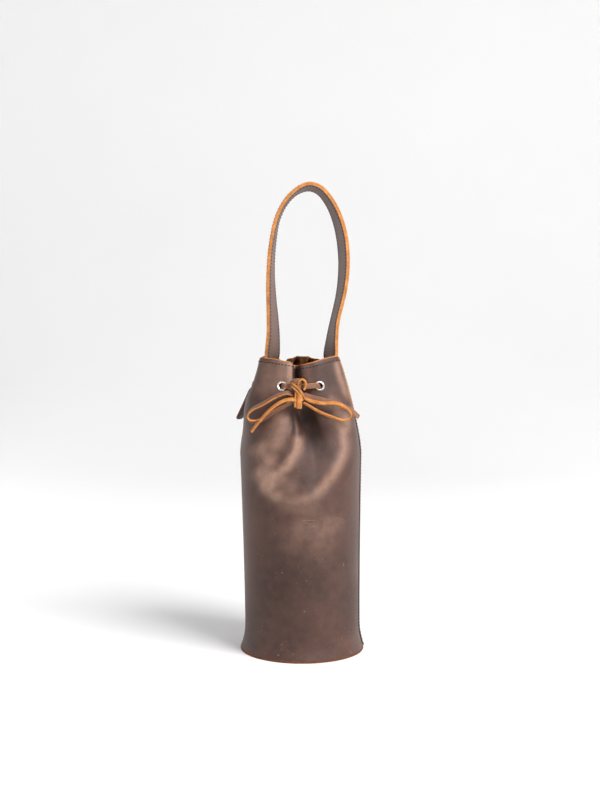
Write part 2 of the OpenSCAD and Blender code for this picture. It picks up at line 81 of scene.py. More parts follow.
def curve_through(points: Array, cuts: int, closed: bool = False) -> Array:
    """Draws a smooth curve through points.

    Args:
        points: The points, one a row.
        cuts: How many steps each span is cut into.
        closed: Whether the last point joins the first.
    Returns:
        The curve's points, one a row.
    """
    p = np.asarray(points, float)
    if closed:
        p = np.vstack([p[-1:], p, p[:2]])
    else:
        p = np.vstack([2 * p[:1] - p[1:2], p, 2 * p[-1:] - p[-2:-1]])
    t = (np.arange(cuts) / cuts)[:, None]
    spans = []
    for a, b, c, d in zip(p[:-3], p[1:-2], p[2:-1], p[3:]):
        spans.append(0.5 * (2 * b + (c - a) * t + (2 * a - 5 * b + 4 * c - d) * t ** 2
                            + (3 * b - 3 * c + d - a) * t ** 3))
    line = np.vstack(spans)
    return line if closed else np.vstack([line, p[-2:-1]])


def lengths_along(p: Array) -> Array:
    """Returns the distance from the first point to each point, along the line."""
    return np.r_[0, np.cumsum(np.linalg.norm(np.diff(p, axis=0), axis=1))]


def in_even_steps(p: Array, n: int) -> Array:
    """Returns n + 1 points in equal steps along a line."""
    s = lengths_along(p)
    q = np.linspace(0, s[-1], n + 1)
    return np.stack([np.interp(q, s, p[:, k]) for k in range(p.shape[1])], 1)


def square_to(t: Array, v: Array) -> Array:
    """Returns vectors turned square to the unit vectors t, each made one long."""
    return unit(v - (v * t).sum(1, keepdims=True) * t)


@dataclass
class Fold:
    """A ridge or a hollow of the soft wall, drawn as a line in the front or back view.

    Attributes:
        line: Its points, x and z in millimetres, as seen from the front.
        height: How far it stands out, or in when it is negative.
        width: How far it reaches to each side.
        ends: Shares of its length over which it rises and fades.
        front: Whether it lies on the front half of the wall.
    """

    line: Sequence[Span]
    height: float
    width: float
    ends: Span = (0.3, 0.3)
    front: bool = True

    def at(self, x: Array, z: Array) -> Array:
        """Returns the fold's height at places of the front view."""
        p = curve_through(np.array(self.line, float), 8)
        s = lengths_along(p) / lengths_along(p)[-1]
        best = np.full(x.shape, 1e9)
        along = np.zeros(x.shape)
        for i in range(len(p) - 1):
            d = p[i + 1] - p[i]
            t = np.clip(((x - p[i, 0]) * d[0] + (z - p[i, 1]) * d[1]) / (d @ d), 0, 1)
            away = np.hypot(x - p[i, 0] - t * d[0], z - p[i, 1] - t * d[1])
            nearer = away < best
            best = np.where(nearer, away, best)
            along = np.where(nearer, s[i] + t * (s[i + 1] - s[i]), along)
        rise, fade = self.ends
        taper = smooth(along / max(rise, 1e-3)) * smooth((1 - along) / max(fade, 1e-3))
        return self.height * taper * np.exp(-(best / self.width) ** 2)


@dataclass
class WallForm:
    """The leather wall's form: round below, drawn in by the lace at the mouth.

    A place on the wall is a panel angle in degrees, 0 at the middle of the front and positive
    to the right, and a height.

    Attributes:
        belly_h: Height of its widest place, where the sides start to draw in.
        mouth_d: About half of the mouth's depth.
        rim_dip, back_dip: How far the rim dips at the front, and at the back's two sides.
        pleat_foot_h, gather_foot_h: Heights at which the pleat and the gathers start.
        pleat_turn: How far the columns turn to the right below the pleat, in degrees.
        front_deg, back_deg: Angles at which the pleat ends and the gathers begin.
        corner_deg, dip_deg: Angles of the rim's corners, and of the dips at the back.
        mouth_shares: Half of the mouth's outline, from the front's middle to the back's.
    """

    body_d: float = 106.4
    body_h: float = 274
    foot_flare: float = 4.3
    flare_h: float = 24
    belly_swell: float = 2.7
    belly_h: float = 184
    lean: float = 2.8
    mouth_w: float = 72.5
    mouth_d: float = 27
    rim_dip: float = 8.5
    back_dip: float = 7
    pleat_foot_h: float = 138
    gather_foot_h: float = 165
    pleat_offset: float = 3
    gather_offset: float = 3.5
    gather_from_deg: float = 116
    gather_shift_deg: float = 20
    lap_fullness: float = 5
    pleat_turn: float = 18
    wall_foot: float = 2.1
    front_deg: float = 72
    back_deg: float = 108
    corner_deg: float = 78
    dip_deg: float = 123
    back_dip_deg: float = 30
    fullness_deg: float = 110
    fullness_reach_deg: float = 40
    turn_deg: float = 115
    half_steps: int = 64
    mouth_shares: Sequence[Span] = (
        (0.000, -0.44), (0.044, -0.49), (0.060, -0.67), (0.078, -0.84), (0.150, -0.97),
        (0.285, -1.01), (0.475, -0.98), (0.667, -0.84), (0.867, -0.63), (0.979, -0.50),
        (1.000, -0.37), (0.975, -0.267), (0.830, 0.055), (0.660, 0.37), (0.580, 0.56),
        (0.533, 0.77), (0.440, 0.90), (0.352, 0.78), (0.346, 0.54), (0.308, 0.44),
        (0.268, 0.54), (0.262, 0.78), (0.164, 0.91), (0.064, 0.78), (0.058, 0.54), (0.000, 0.41))

    def __post_init__(self) -> None:
        """Works out the drawn-in mouth's outline once."""
        p = np.array(self.mouth_shares) * [self.mouth_w / 2, self.mouth_d]
        self.half = in_even_steps(curve_through(p, 6), self.half_steps)

    def mouth(self, a: Array) -> Array:
        """Returns the drawn-in mouth's outline, x and y, at panel angles."""
        steps = np.arange(self.half_steps + 1)
        w = np.abs(a) / 180 * self.half_steps
        x = np.interp(w, steps, self.half[:, 0]) * np.sign(a)
        y = np.interp(w, steps, self.half[:, 1])
        x = x - self.pleat_offset * smooth(1 - np.abs(a) / self.front_deg)
        full = smooth(1 - np.abs(a - self.fullness_deg) / self.fullness_reach_deg)
        gathered = smooth((np.abs(a) - self.gather_from_deg) / self.gather_shift_deg)
        return np.stack([x + self.lap_fullness * full + self.gather_offset * gathered, y], -1)

    def radius(self, h: Array) -> Array:
        """Returns the round wall's radius at heights."""
        foot = np.clip(1 - (h - self.wall_foot) / self.flare_h, 0, 1) ** 2.4
        belly = np.clip((h - self.flare_h) / (self.belly_h - self.flare_h), 0, 1) ** 1.6
        return self.body_d / 2 + self.belly_swell * belly + self.foot_flare * foot

    def drawn(self, a: Array, h: Array) -> Array:
        """Returns the share of the way from the round wall to the drawn-in mouth."""
        f = smooth(1 - np.abs(a) / self.front_deg)
        k = smooth((np.abs(a) - self.back_deg) / (180 - self.back_deg))
        h0 = (self.belly_h + (self.pleat_foot_h - self.belly_h) * f
              + (self.gather_foot_h - self.belly_h) * k)
        return np.clip((h - h0) / (self.body_h - h0), 0, None) ** (1.55 - 0.2 * f)

    def rim_drop(self, a: Array, h: Array) -> Array:
        """Returns how far the wall's rows dip at panel angles and heights."""
        corner = np.clip((self.corner_deg - np.abs(a)) / (self.corner_deg * 0.75), 0, 1)
        dip = smooth(1 - np.abs(np.abs(a) - self.dip_deg) / self.back_dip_deg)
        up = np.clip((h - self.pleat_foot_h) / (self.body_h - self.pleat_foot_h), 0, None) ** 2
        return (self.rim_dip * corner + self.back_dip * dip) * up

    def at(self, a: Array, h: Array) -> Array:
        """Returns points of the wall's outer face, in millimetres."""
        a, h = np.broadcast_arrays(np.asarray(a, float), np.asarray(h, float))
        a = (a + 180) % 360 - 180
        turned = np.radians(a + self.pleat_turn * smooth(1 - np.abs(a) / self.turn_deg))
        r = self.radius(h)
        round_ = np.stack([r * np.sin(turned), -r * np.cos(turned)], -1)
        xy = round_ + (self.mouth(a) - round_) * self.drawn(a, h)[..., None]
        return np.stack([xy[..., 0] - self.lean * h / self.body_h, xy[..., 1],
                         h - self.rim_drop(a, h)], -1)

    def level(self, a: float, z: float) -> float:
        """Returns the panel height at which a column reaches a height above the floor."""
        return float(z + self.rim_drop(a, z + self.rim_drop(a, z)))

    def axes(self, a: float, h: float) -> tuple[Array, Array, Array]:
        """Returns the wall's tangent, its rise and its outward normal at a place."""
        t = self.at(a + 1.4, h) - self.at(a - 1.4, h)
        t[..., 2] = 0
        t = unit(t)
        rise = unit(self.at(a, h + 1.6) - self.at(a, h - 1.6))
        return t, rise, unit(np.cross(t, rise))


@dataclass
class SoftWall:
    """The wall as it hangs: the form with its folds, as a grid of points and normals.

    Attributes:
        form, folds: What it is made from.
        eyelet_degs, eyelet_h: The eyelets' panel angles and their height.
        eyelet_calm, fold_calm: How far from an eyelet's middle the leather stays flat, and over
            how much more it gets back its shape; the second is for the folds.
        lip: Rows of panel angle, shift across at the rim, shift below it, and rise of the rim.
        lip_below: How far below the rim the second shift holds.
        shift_from, rise_from: Heights from which the shifts and the rise grow, and their reach.
        shoulder: How much fuller the left shoulder is.
        shoulder_deg, shoulder_h: Where that is: panel angle and height, each with its reach.
        gathers_from: Panel angle from which the gathers' rim stands in an arc, and its reach.
        arc_h, arc_drop: Height from which it does, and how far its top lies below the rim.
        arch_fall, arch_x: How the arc falls to both sides, and where its top is.
        fold_top, fold_foot: Over how much the folds fade below the rim and above the foot.
    """

    form: WallForm
    folds: Sequence[Fold]
    eyelet_degs: Sequence[float] = (31, 91, 112.5, -113, -82, -31.5)
    eyelet_h: float = 248
    eyelet_calm: Span = (4.8, 7)
    fold_calm: Span = (4.05, 9)
    lip: Sequence[tuple[float, float, float, float]] = (
        (-72, 0, 0, 0), (-66, 0, 0, 1.0), (-60, 0, 0, 1.6), (-54, 0, 0, 1.9), (-48, 0, 0, 2.6),
        (-42, 0, 0, 2.9), (-36, 0, 0, 3.2), (-30, 0, 0, 3.2), (-27, 0.3, 0.2, 3.2),
        (-24, 0.8, 0.2, 3.3), (-21, 1.2, 0.1, 3.3), (-18, 0.9, -0.5, 3.1), (-15, 0.2, -1.5, 2.7),
        (-12, 0, -1.7, 1.6), (-9, 0, -1.8, 0.6), (-6, -0.1, -1.8, 0), (0, -0.4, -2.4, 0),
        (3, -1.0, -3.0, 0), (9, -1.2, -3.0, 0), (12, -1.2, -2.9, 0.1), (15, -1.0, -2.6, 0.6),
        (18, -0.6, -2.2, 1.1), (21, -0.2, -1.4, 1.2), (24, 0, -0.7, 1.2), (30, 0, 0, 1.4),
        (36, 0, 0, 1.7), (42, 0, 0, 2.2), (48, 0, 0, 2.5), (54, 0, 0, 2.5), (60, 0, 0, 2.4),
        (66, 0, 0, 1.9), (72, 0, 0, 1.0), (78, 0, 0, 0))
    lip_below: float = 12
    shift_from: Span = (222, 24)
    rise_from: Span = (252, 20)
    shoulder: float = 4.0
    shoulder_deg: Span = (-78, 42)
    shoulder_h: Span = (233, 32)
    gathers_from: Span = (118, 12)
    arc_h: float = 225
    arc_drop: float = 0.9
    arch_fall: float = 0.012
    arch_x: float = 2
    fold_top: float = 10
    fold_foot: Span = (4, 14)

    def at_eyelets(self, deg: float) -> tuple[Array, Array, Array, Array]:
        """Returns the wall's place, tangent, rise and outward normal at the eyelets' height."""
        h = self.form.level(deg, self.eyelet_h)
        return (self.form.at(deg, h), *self.form.axes(deg, h))

    def off_eyelets(self, p: Array, calm: Span) -> Array:
        """Returns 0 round the eyelets and 1 away from them, for a grid of points."""
        share = np.ones(p.shape[:-1])
        for deg in self.eyelet_degs:
            away = np.linalg.norm(p - self.at_eyelets(deg)[0], axis=-1)
            share *= grown(away, calm)
        return share

    def shaped(self, a: Array, h: Array) -> Array:
        """Returns the form's points with the pleat's lips, the shoulder and the gathers' arc."""
        p, top = self.form.at(a, h), self.form.body_h
        turned = (a + 180) % 360 - 180
        # the pleat's left lip is pressed sharp and upright, and the rim falls straight to it
        deg, rim, below, rise = np.array(self.lip).T
        low = smooth((top - h) / self.lip_below)
        across = np.interp(turned, deg, rim) * (1 - low) + np.interp(turned, deg, below) * low
        p[..., 0] += across * grown(h, self.shift_from)
        p[..., 2] += np.interp(turned, deg, rise) * grown(h, self.rise_from)
        full = self.shoulder
        for value, (middle, reach) in ((turned, self.shoulder_deg), (h, self.shoulder_h)):
            full = full * smooth(1 - np.abs(value - middle) / reach)
        p[..., 0] -= full * self.off_eyelets(p, self.eyelet_calm)
        up = np.clip((h - self.arc_h) / (top - self.arc_h), 0, None) ** 2
        back = grown(np.abs(turned), self.gathers_from)
        arc = self.arch_fall * (p[..., 0] + self.form.lean - self.arch_x) ** 2 * back
        p[..., 2] = np.minimum(p[..., 2], h - (self.arc_drop * back + arc) * up)
        return p

    def grid(self, angles: Array, heights: Array) -> tuple[Array, Array]:
        """Works out the soft wall's outer face.

        Args:
            angles: Panel angles of the columns, rising; one row of them, or a row for each height.
            heights: Heights of the rows, rising.
        Returns:
            Points and outward normals at each of the grid's places.
        """
        a, h = np.broadcast_arrays(np.atleast_2d(angles), np.asarray(heights)[:, None])
        p = self.shaped(a, h)
        n = self.normals(p)
        lift = strokes_at(self.folds, p, n, 3) * self.off_eyelets(p, self.fold_calm)
        lift *= smooth((self.form.body_h - h) / self.fold_top) * grown(h, self.fold_foot)
        p = p + n * lift[..., None]
        return p, self.normals(p)

    @staticmethod
    def normals(p: Array) -> Array:
        """Returns the outward normals of a grid of points."""
        return unit(np.cross(np.gradient(p, axis=1), np.gradient(p, axis=0)))


def strokes_at(strokes: Sequence[Fold], p: Array, n: Array, sharp: float) -> Array:
    """Adds up strokes over a grid.

    Args:
        strokes: The strokes.
        p: The grid's points.
        n: The grid's outward normals; a stroke marks only what faces its view.
        sharp: How fast it fades where the wall turns away.
    Returns:
        Their sum at each of the grid's places.
    """
    total = np.zeros(p.shape[:2])
    for stroke in strokes:
        facing = smooth((-n[..., 1] if stroke.front else n[..., 1]) * sharp + 0.3)
        total += stroke.at(p[..., 0], p[..., 2]) * facing
    return total


def select_only(*pieces: Piece) -> None:
    """Selects pieces and nothing else; the first one is the active one."""
    bpy.ops.object.select_all(action="DESELECT")
    for piece in pieces:
        piece.select_set(True)
    if pieces:
        bpy.context.view_layer.objects.active = pieces[0]


@contextmanager
def editing() -> Iterator[None]:
    """Holds the active piece in edit mode."""
    bpy.ops.object.mode_set(mode="EDIT")
    yield
    bpy.ops.object.mode_set(mode="OBJECT")


def mesh_object(name: str, verts: Array, faces: list, materials: Sequence[Material],
                slots: Sequence[int] | None = None, angle: float = 38) -> Piece:
    """Makes an object from points in millimetres and faces.

    Args:
        name: The piece's name.
        verts: Its points.
        faces: Its faces, as rows of point numbers.
        materials: The materials of its slots.
        slots: Each face's material slot, if not all are the first.
        angle: The angle in degrees over which an edge stays sharp.
    Returns:
        The new object, at the origin.
    """
    mesh = bpy.data.meshes.new(name)
    mesh.from_pydata((np.asarray(verts) * MM).tolist(), [], faces)
    for material in materials:
        mesh.materials.append(material)
    if slots is not None:
        mesh.polygons.foreach_set("material_index", np.asarray(slots, np.int32))
    mesh.polygons.foreach_set("use_smooth", np.ones(len(mesh.polygons), bool))
    mesh.update()
    piece = bpy.data.objects.new(name, mesh)
    bpy.context.scene.collection.objects.link(piece)
    select_only(piece)
    bpy.ops.object.shade_smooth_by_angle(angle=math.radians(angle))
    return piece


def thick_sheet(name: str, outer: Array, inner: Array, keep: Array,
                materials: Sequence[Material], values: dict[str, Array] | None = None) -> Piece:
    """Makes a sheet of leather between two grids, with its cut edges.

    Args:
        name: The piece's name.
        outer: The outer face's points, rows by columns.
        inner: The inner face's points.
        keep: Which of the grid's cells are leather; with as many columns as the grid has, the
            sheet is closed, and its last column joins the first.
        materials: Outer face, inner face and cut edge.
        values: Named values of the outer face's places, which the material reads.
    Returns:
        The sheet.
    """
    rows, cols = outer.shape[:2]
    closed = keep.shape[1] == cols

    def leather(j: int, i: int) -> bool:
        """Returns whether a cell is leather."""
        if closed:
            i %= cols
        return 0 <= j < rows - 1 and 0 <= i < keep.shape[1] and bool(keep[j, i])

    under = rows * cols
    faces, slots = [], []
    for j, i in np.argwhere(keep):
        k = (i + 1) % cols
        a, b, c, d = j * cols + i, j * cols + k, (j + 1) * cols + k, (j + 1) * cols + i
        faces += [(a, b, c, d), (under + d, under + c, under + b, under + a)]
        slots += [0, 1]
        for p, q, jj, ii in ((a, b, j - 1, i), (b, c, j, i + 1), (c, d, j + 1, i),
                             (d, a, j, i - 1)):
            if not leather(jj, ii):
                faces.append((q, p, under + p, under + q))
                slots.append(2)
    verts = np.vstack([outer.reshape(-1, 3), inner.reshape(-1, 3)])
    used, faces = np.unique(np.array(faces), return_inverse=True)
    piece = mesh_object(name, verts[used], faces.reshape(-1, 4).tolist(), materials, slots)
    for key, value in (values or {}).items():
        layer = piece.data.attributes.new(key, "FLOAT", "POINT")
        both = np.r_[value.ravel(), np.zeros(under)]
        layer.data.foreach_set("value", both[used].astype(np.float32))
    return piece


def swept(name: str, line: Array, widths: Array, section: Array, section_slots: Sequence[int],
          materials: Sequence[Material], closed: bool = False, angle: float = 38) -> Piece:
    """Sweeps a section along a line; the two ends are cut edges, with the second material.

    Args:
        name: The piece's name.
        line: The line's points.
        widths: The section's width direction at each point.
        section: The section's points, along the width and along the thickness, turning left.
        section_slots: The material slot of each side of the section.
        materials: The materials of the slots.
        closed: Whether the line's end joins its start.
        angle: The angle in degrees over which an edge stays sharp.
    Returns:
        The swept piece.
    """
    ahead = np.roll(line, -1, 0) - np.roll(line, 1, 0) if closed else np.gradient(line, axis=0)
    t = unit(ahead)
    w = square_to(t, widths)
    o = np.cross(t, w)
    n, m = len(section), len(line)
    verts = line[:, None] + section[None, :, :1] * w[:, None] + section[None, :, 1:] * o[:, None]
    faces = [(j * n + i, j * n + (i + 1) % n, (j + 1) % m * n + (i + 1) % n, (j + 1) % m * n + i)
             for j in range(m if closed else m - 1) for i in range(n)]
    slots = list(section_slots) * (len(faces) // n)
    if not closed:
        faces += [tuple(range(n - 1, -1, -1)), tuple((m - 1) * n + i for i in range(n))]
        slots += [1, 1]
    return mesh_object(name, verts.reshape(-1, 3), faces, materials, slots, angle)


def taken_apart(piece: Piece) -> tuple[Array, list]:
    """Returns a piece's points and faces, and removes it."""
    verts = np.array([v.co for v in piece.data.vertices])
    faces = [tuple(p.vertices) for p in piece.data.polygons]
    bpy.data.objects.remove(piece)
    return verts, faces


def stamped(verts: Array, faces: list, places: Array, axes: Sequence[Array]) -> tuple[Array, list]:
    """Copies a small mesh to many places.

    Args:
        verts: The mesh's points.
        faces: The mesh's faces.
        places: Where the copies' origins lie, one a row.
        axes: The directions of their x, y and z, each with one row a copy.
    Returns:
        The points and the faces of all the copies.
    """
    points = places[:, None]
    for k, axis in enumerate(axes):
        points = points + verts[None, :, k:k + 1] * axis[:, None]
    return points.reshape(-1, 3), [tuple(v + k * len(verts) for v in f)
                                   for k in range(len(places)) for f in faces]


def joined(name: str, pieces: list[Piece]) -> Piece:
    """Joins pieces into one and names it."""
    select_only(*pieces)
    bpy.ops.object.join()
    pieces[0].name = name
    return pieces[0]


def settle(piece: Piece, body: str, slot: str, *nodes: str) -> None:
    """Lets a piece ride on a body and hides the solid nodes that it stands for; the slot is not
    used.
    """
    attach(piece, body)
    for node in nodes:
        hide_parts(node)
    log.info("%s: %d faces", piece.name, len(piece.data.polygons))


class Effect(Enum):
    """The shared effects, each one node group."""

    GRAIN = "leather_grain"
    CLOUDS = "colour_clouds"
    SCUFFS = "fine_scuffs"
    NAP = "suede_nap"


class Nodes:
    """A small hand for building a node tree."""

    def __init__(self, tree: bpy.types.NodeTree) -> None:
        """Keeps the tree."""
        self.tree = tree

    def add(self, kind: str, **values: object) -> Node:
        """Adds a node; a value goes to the property or to the input of its name."""
        node = self.tree.nodes.new(kind)
        for key, value in values.items():
            if hasattr(node, key):
                setattr(node, key, value)
            else:
                self.feed(node, key, value)
        return node

    def only(self, kind: str) -> Node:
        """Returns the tree's node of a type."""
        return next(node for node in self.tree.nodes if node.type == kind)

    def feed(self, node: Node, key: str | int, value: object) -> None:
        """Links a socket to an input, or sets the input's value."""
        if isinstance(value, Socket):
            self.tree.links.new(value, node.inputs[key])
        else:
            node.inputs[key].default_value = value

    def math(self, how: str, a: object, b: object) -> Socket:
        """Returns a sum, product or other simple reckoning of two values."""
        node = self.add("ShaderNodeMath", operation=how)
        self.feed(node, 0, a)
        self.feed(node, 1, b)
        return node.outputs[0]

    def times(self, a: object, b: object) -> Socket:
        """Returns a product."""
        return self.math("MULTIPLY", a, b)

    def plus(self, a: object, b: object) -> Socket:
        """Returns a sum."""
        return self.math("ADD", a, b)

    def span(self, value: object, lo: float, hi: float, to_lo: float = 0.0,
             to_hi: float = 1.0) -> Socket:
        """Returns a value spread from one span to another and held there."""
        node = self.add("ShaderNodeMapRange", clamp=True)
        for key, v in enumerate((value, lo, hi, to_lo, to_hi)):
            self.feed(node, key, v)
        return node.outputs[0]

    def mix(self, share: object, a: object, b: object) -> Socket:
        """Returns a mix of two colours."""
        node = self.add("ShaderNodeMix", data_type="RGBA")
        for key, v in ((0, share), (6, a), (7, b)):
            self.feed(node, key, v)
        return node.outputs[2]

    def noise(self, where: Socket, scale: object, detail: float = 4, rough: float = 0.55,
              stretch: float = 0.0) -> Socket:
        """Returns a cloudy value."""
        return self.add("ShaderNodeTexNoise", Vector=where, Scale=scale, Detail=detail,
                        Roughness=rough, Distortion=stretch).outputs["Fac"]

    def mapped(self, where: Socket, scale: Point = (1, 1, 1), turn: Point = (0, 0, 0),
               shift: Point = (0, 0, 0)) -> Socket:
        """Returns coordinates moved, turned and scaled."""
        return self.add("ShaderNodeMapping", Vector=where, Location=shift, Rotation=turn,
                        Scale=scale).outputs[0]

    def effect(self, effect: Effect, where: Socket, scale: float = 1.0) -> object:
        """Places a shared effect and returns its outputs."""
        return self.add("ShaderNodeGroup", node_tree=bpy.data.node_groups[effect.value],
                        Vector=where, Scale=scale).outputs

    def bump(self, shader: Node, height: Socket, depth: float, strength: float) -> None:
        """Feeds a height to the shader's normal; depth is in metres."""
        node = self.add("ShaderNodeBump", Height=height, Distance=depth, Strength=strength)
        self.feed(shader, "Normal", node.outputs[0])


def new_group(effect: Effect, *outputs: str) -> tuple[Nodes, Socket, Socket, Node]:
    """Starts a shader node group with the inputs Vector and Scale.

    Args:
        effect: Which effect it is.
        outputs: Names of its value outputs.
    Returns:
        A hand for its tree, its two inputs and its output node.
    """
    group = bpy.data.node_groups.new(effect.value, "ShaderNodeTree")
    sockets = group.interface
    sockets.new_socket(name="Vector", in_out="INPUT", socket_type="NodeSocketVector")
    scale = sockets.new_socket(name="Scale", in_out="INPUT", socket_type="NodeSocketFloat")
    scale.default_value = 1.0
    for key in outputs:
        sockets.new_socket(name=key, in_out="OUTPUT", socket_type="NodeSocketFloat")
    hand = Nodes(group)
    given = hand.add("NodeGroupInput").outputs
    return hand, given["Vector"], given["Scale"], hand.add("NodeGroupOutput")


def build_effects() -> None:
    """Builds the node groups that the finishes share."""
    n, where, size, out = new_group(Effect.GRAIN, "Height")
    warp = n.add("ShaderNodeTexNoise", Vector=where, Scale=n.times(size, 420.0))
    shifted = n.add("ShaderNodeMix", data_type="VECTOR")
    for key, value in ((0, 0.0012), (4, where), (5, warp.outputs["Color"])):
        n.feed(shifted, key, value)
    cells = n.add("ShaderNodeTexVoronoi", feature="DISTANCE_TO_EDGE", Vector=shifted.outputs[1],
                  Scale=n.times(size, 1150.0))
    creases = n.span(cells.outputs["Distance"], 0.0, 0.16)
    pores = n.noise(where, n.times(size, 2300.0), 3.0, 0.5)
    n.feed(out, "Height", n.plus(n.times(creases, 0.6), n.times(pores, 0.5)))

    n, where, size, out = new_group(Effect.CLOUDS, "Large", "Small")
    n.feed(out, "Large", n.span(n.noise(where, n.times(size, 16.0), 3.0, 0.5), 0.34, 0.66))
    n.feed(out, "Small", n.span(n.noise(where, n.times(size, 130.0), 6.0, 0.62), 0.3, 0.7))

    n, where, size, out = new_group(Effect.SCUFFS, "Marks", "Specks")
    lines = []
    for turn, shift in (((0.3, 0.5, 0.4), (0, 0, 0)), ((1.1, -0.4, 2.0), (3, 1, 2)),
                        ((-0.5, 0.9, 1.2), (5, 7, 1))):
        wide = n.noise(n.mapped(where, (1, 0.06, 1), turn, shift), 420, 1.5, 0.4)
        place = n.noise(n.mapped(where, shift=shift), 34, 2.0)
        lines.append(n.times(n.span(wide, 0.715, 0.76), n.span(place, 0.52, 0.66)))
    both = n.math("MAXIMUM", lines[0], lines[1])
    n.feed(out, "Marks", n.math("MAXIMUM", both, lines[2]))
    dots = n.add("ShaderNodeTexVoronoi", Vector=where, Scale=n.times(size, 95.0))
    n.feed(out, "Specks", n.math("SUBTRACT", 1.0, n.span(dots.outputs["Distance"], 0.03, 0.09)))

    n, where, size, out = new_group(Effect.NAP, "Height", "Shade")
    fibres = n.noise(where, n.times(size, 900.0), 8.0, 0.7)
    tufts = n.noise(where, 210, 5.0, 0.65, 0.6)
    n.feed(out, "Height", fibres)
    n.feed(out, "Shade", n.plus(n.times(fibres, 0.45), n.times(tufts, 0.55)))


def linear(r: float, g: float, b: float) -> tuple[float, float, float, float]:
    """Turns a colour as a screen shows it, 0 to 255, into the shader's numbers."""
    def one(v: float) -> float:
        """Turns one channel."""
        v /= 255
        return v / 12.92 if v <= 0.04045 else ((v + 0.055) / 1.055) ** 2.4
    return one(r), one(g), one(b), 1.0


@dataclass(frozen=True)
class Finish:
    """What all finishes share: a material with one Principled shader."""

    name: str

    def build(self) -> Material:
        """Returns the material."""
        material = bpy.data.materials.new(self.name)
        material.use_nodes = True
        hand = Nodes(material.node_tree)
        self.dress(hand, hand.only("BSDF_PRINCIPLED"),
                   hand.add("ShaderNodeTexCoord").outputs["Object"])
        return material

    def dress(self, n: Nodes, shader: Node, where: Socket) -> None:
        """Feeds the shader; where holds Object coordinates."""
        raise NotImplementedError


@dataclass(frozen=True)
class GrainLeather(Finish):
    """Oiled pull-up leather, a little lighter where it is bent, with painted highlights and painted
    shade.

    Attributes:
        dark, mid, warm: Colours of flat and usual leather, and of scuffs, bends and painted
            highlights.
        black: Colour of the painted shade in valleys, creases and hollows.
        clouds: How much the large clouds show.
        gloss: Roughness of the surface.
        size: Scale of the grain.
        worn: Whether the piece has the point values "bend_and_highlight", for bends and painted
            highlights, and "deep", for painted shade.
    """

    dark: Point = (65, 46, 41)
    mid: Point = (99, 70, 60)
    warm: Point = (184, 146, 126)
    black: Point = (30, 21, 19)
    clouds: float = 1.0
    gloss: float = 0.42
    size: float = 1.0
    worn: bool = False

    def dress(self, n: Nodes, shader: Node, where: Socket) -> None:
        """Mixes the colour from clouds, bends, painted highlights, painted shade, scuffs and grain.
        """
        dark, mid, warm, black = (linear(*c) for c in (self.dark, self.mid, self.warm, self.black))
        clouds = n.effect(Effect.CLOUDS, where, self.size)
        grain = n.effect(Effect.GRAIN, where, self.size)["Height"]
        scuffs = n.effect(Effect.SCUFFS, where)
        small = clouds["Small"]
        share = n.plus(n.times(clouds["Large"], 0.6 * self.clouds), n.times(small, 0.4))
        colour, matt = n.mix(share, dark, mid), 0.0
        if self.worn:
            # the first point value lightens bends and paints highlights, the second paints shade
            for key, tone, patches, most in (("bend_and_highlight", warm, (0.7, 1.15), 0.9),
                                             ("deep", black, (1.1, 0.9), 0.95)):
                worn = n.add("ShaderNodeAttribute", attribute_name=key).outputs["Fac"]
                patchy = n.times(worn, n.span(small, 0, 1, *patches))
                colour = n.mix(n.span(patchy, 0, 1, 0, most), colour, tone)
            matt = n.span(worn, 0, 1, 0, 0.3)
        marks = n.times(scuffs["Marks"], 0.35)
        colour = n.mix(marks, colour, warm)
        colour = n.mix(n.times(scuffs["Specks"], 0.14), colour, warm)
        creases = n.span(grain, 0.25, 0.7)
        n.feed(shader, "Base Color", n.mix(n.span(creases, 0, 1, 0.22, 0), colour, dark))
        rough = n.span(small, 0, 1, self.gloss - 0.05, self.gloss + 0.07)
        n.feed(shader, "Roughness", n.plus(n.plus(rough, n.times(marks, 0.3)), matt))
        n.feed(shader, "Specular IOR Level", 0.3)
        n.bump(shader, n.math("SUBTRACT", grain, n.times(marks, 0.8)), 0.00016, 0.55)


@dataclass(frozen=True)
class Suede(Finish):
    """The napped flesh side, or a cut edge, of vegetable-tanned leather.

    Attributes:
        dark, light: Its two colours.
        stain_colour, stain: The dark dye that has soaked in, in patches, and how much of it.
        nap: Depth of the nap in metres.
        size: Scale of the nap.
    """

    dark: Point
    light: Point
    stain: float
    nap: float = 0.00022
    size: float = 1.0
    stain_colour: Point = (84, 58, 46)

    def dress(self, n: Nodes, shader: Node, where: Socket) -> None:
        """Shades the nap and stains it in patches."""
        nap = n.effect(Effect.NAP, where, self.size)
        colour = n.mix(n.span(nap["Shade"], 0.36, 0.64), linear(*self.dark), linear(*self.light))
        patches = n.span(n.noise(where, 160, 4.0, 0.6), 0.45, 0.62)
        n.feed(shader, "Base Color",
               n.mix(n.times(patches, self.stain), colour, linear(*self.stain_colour)))
        n.feed(shader, "Roughness", n.span(nap["Shade"], 0.3, 0.7, 0.78, 0.95))
        n.feed(shader, "Specular IOR Level", 0.25)
        n.bump(shader, nap["Height"], self.nap, 0.8)


@dataclass(frozen=True)
class Nickel(Finish):
    """Bright nickel plate with fine handling marks."""

    tone: Point = (236, 235, 232)
    dull: Point = (205, 202, 198)
    shine: float = 0.12

    def dress(self, n: Nodes, shader: Node, where: Socket) -> None:
        """Clouds the plate a little."""
        cloud = n.noise(where, 500, 4.0)
        n.feed(shader, "Base Color",
               n.mix(n.span(cloud, 0.35, 0.7), linear(*self.tone), linear(*self.dull)))
        n.feed(shader, "Metallic", 1.0)
        n.feed(shader, "Roughness", n.span(cloud, 0.3, 0.7, self.shine, self.shine + 0.14))
        n.bump(shader, n.noise(where, 900, 2.0), 0.00003, 0.4)


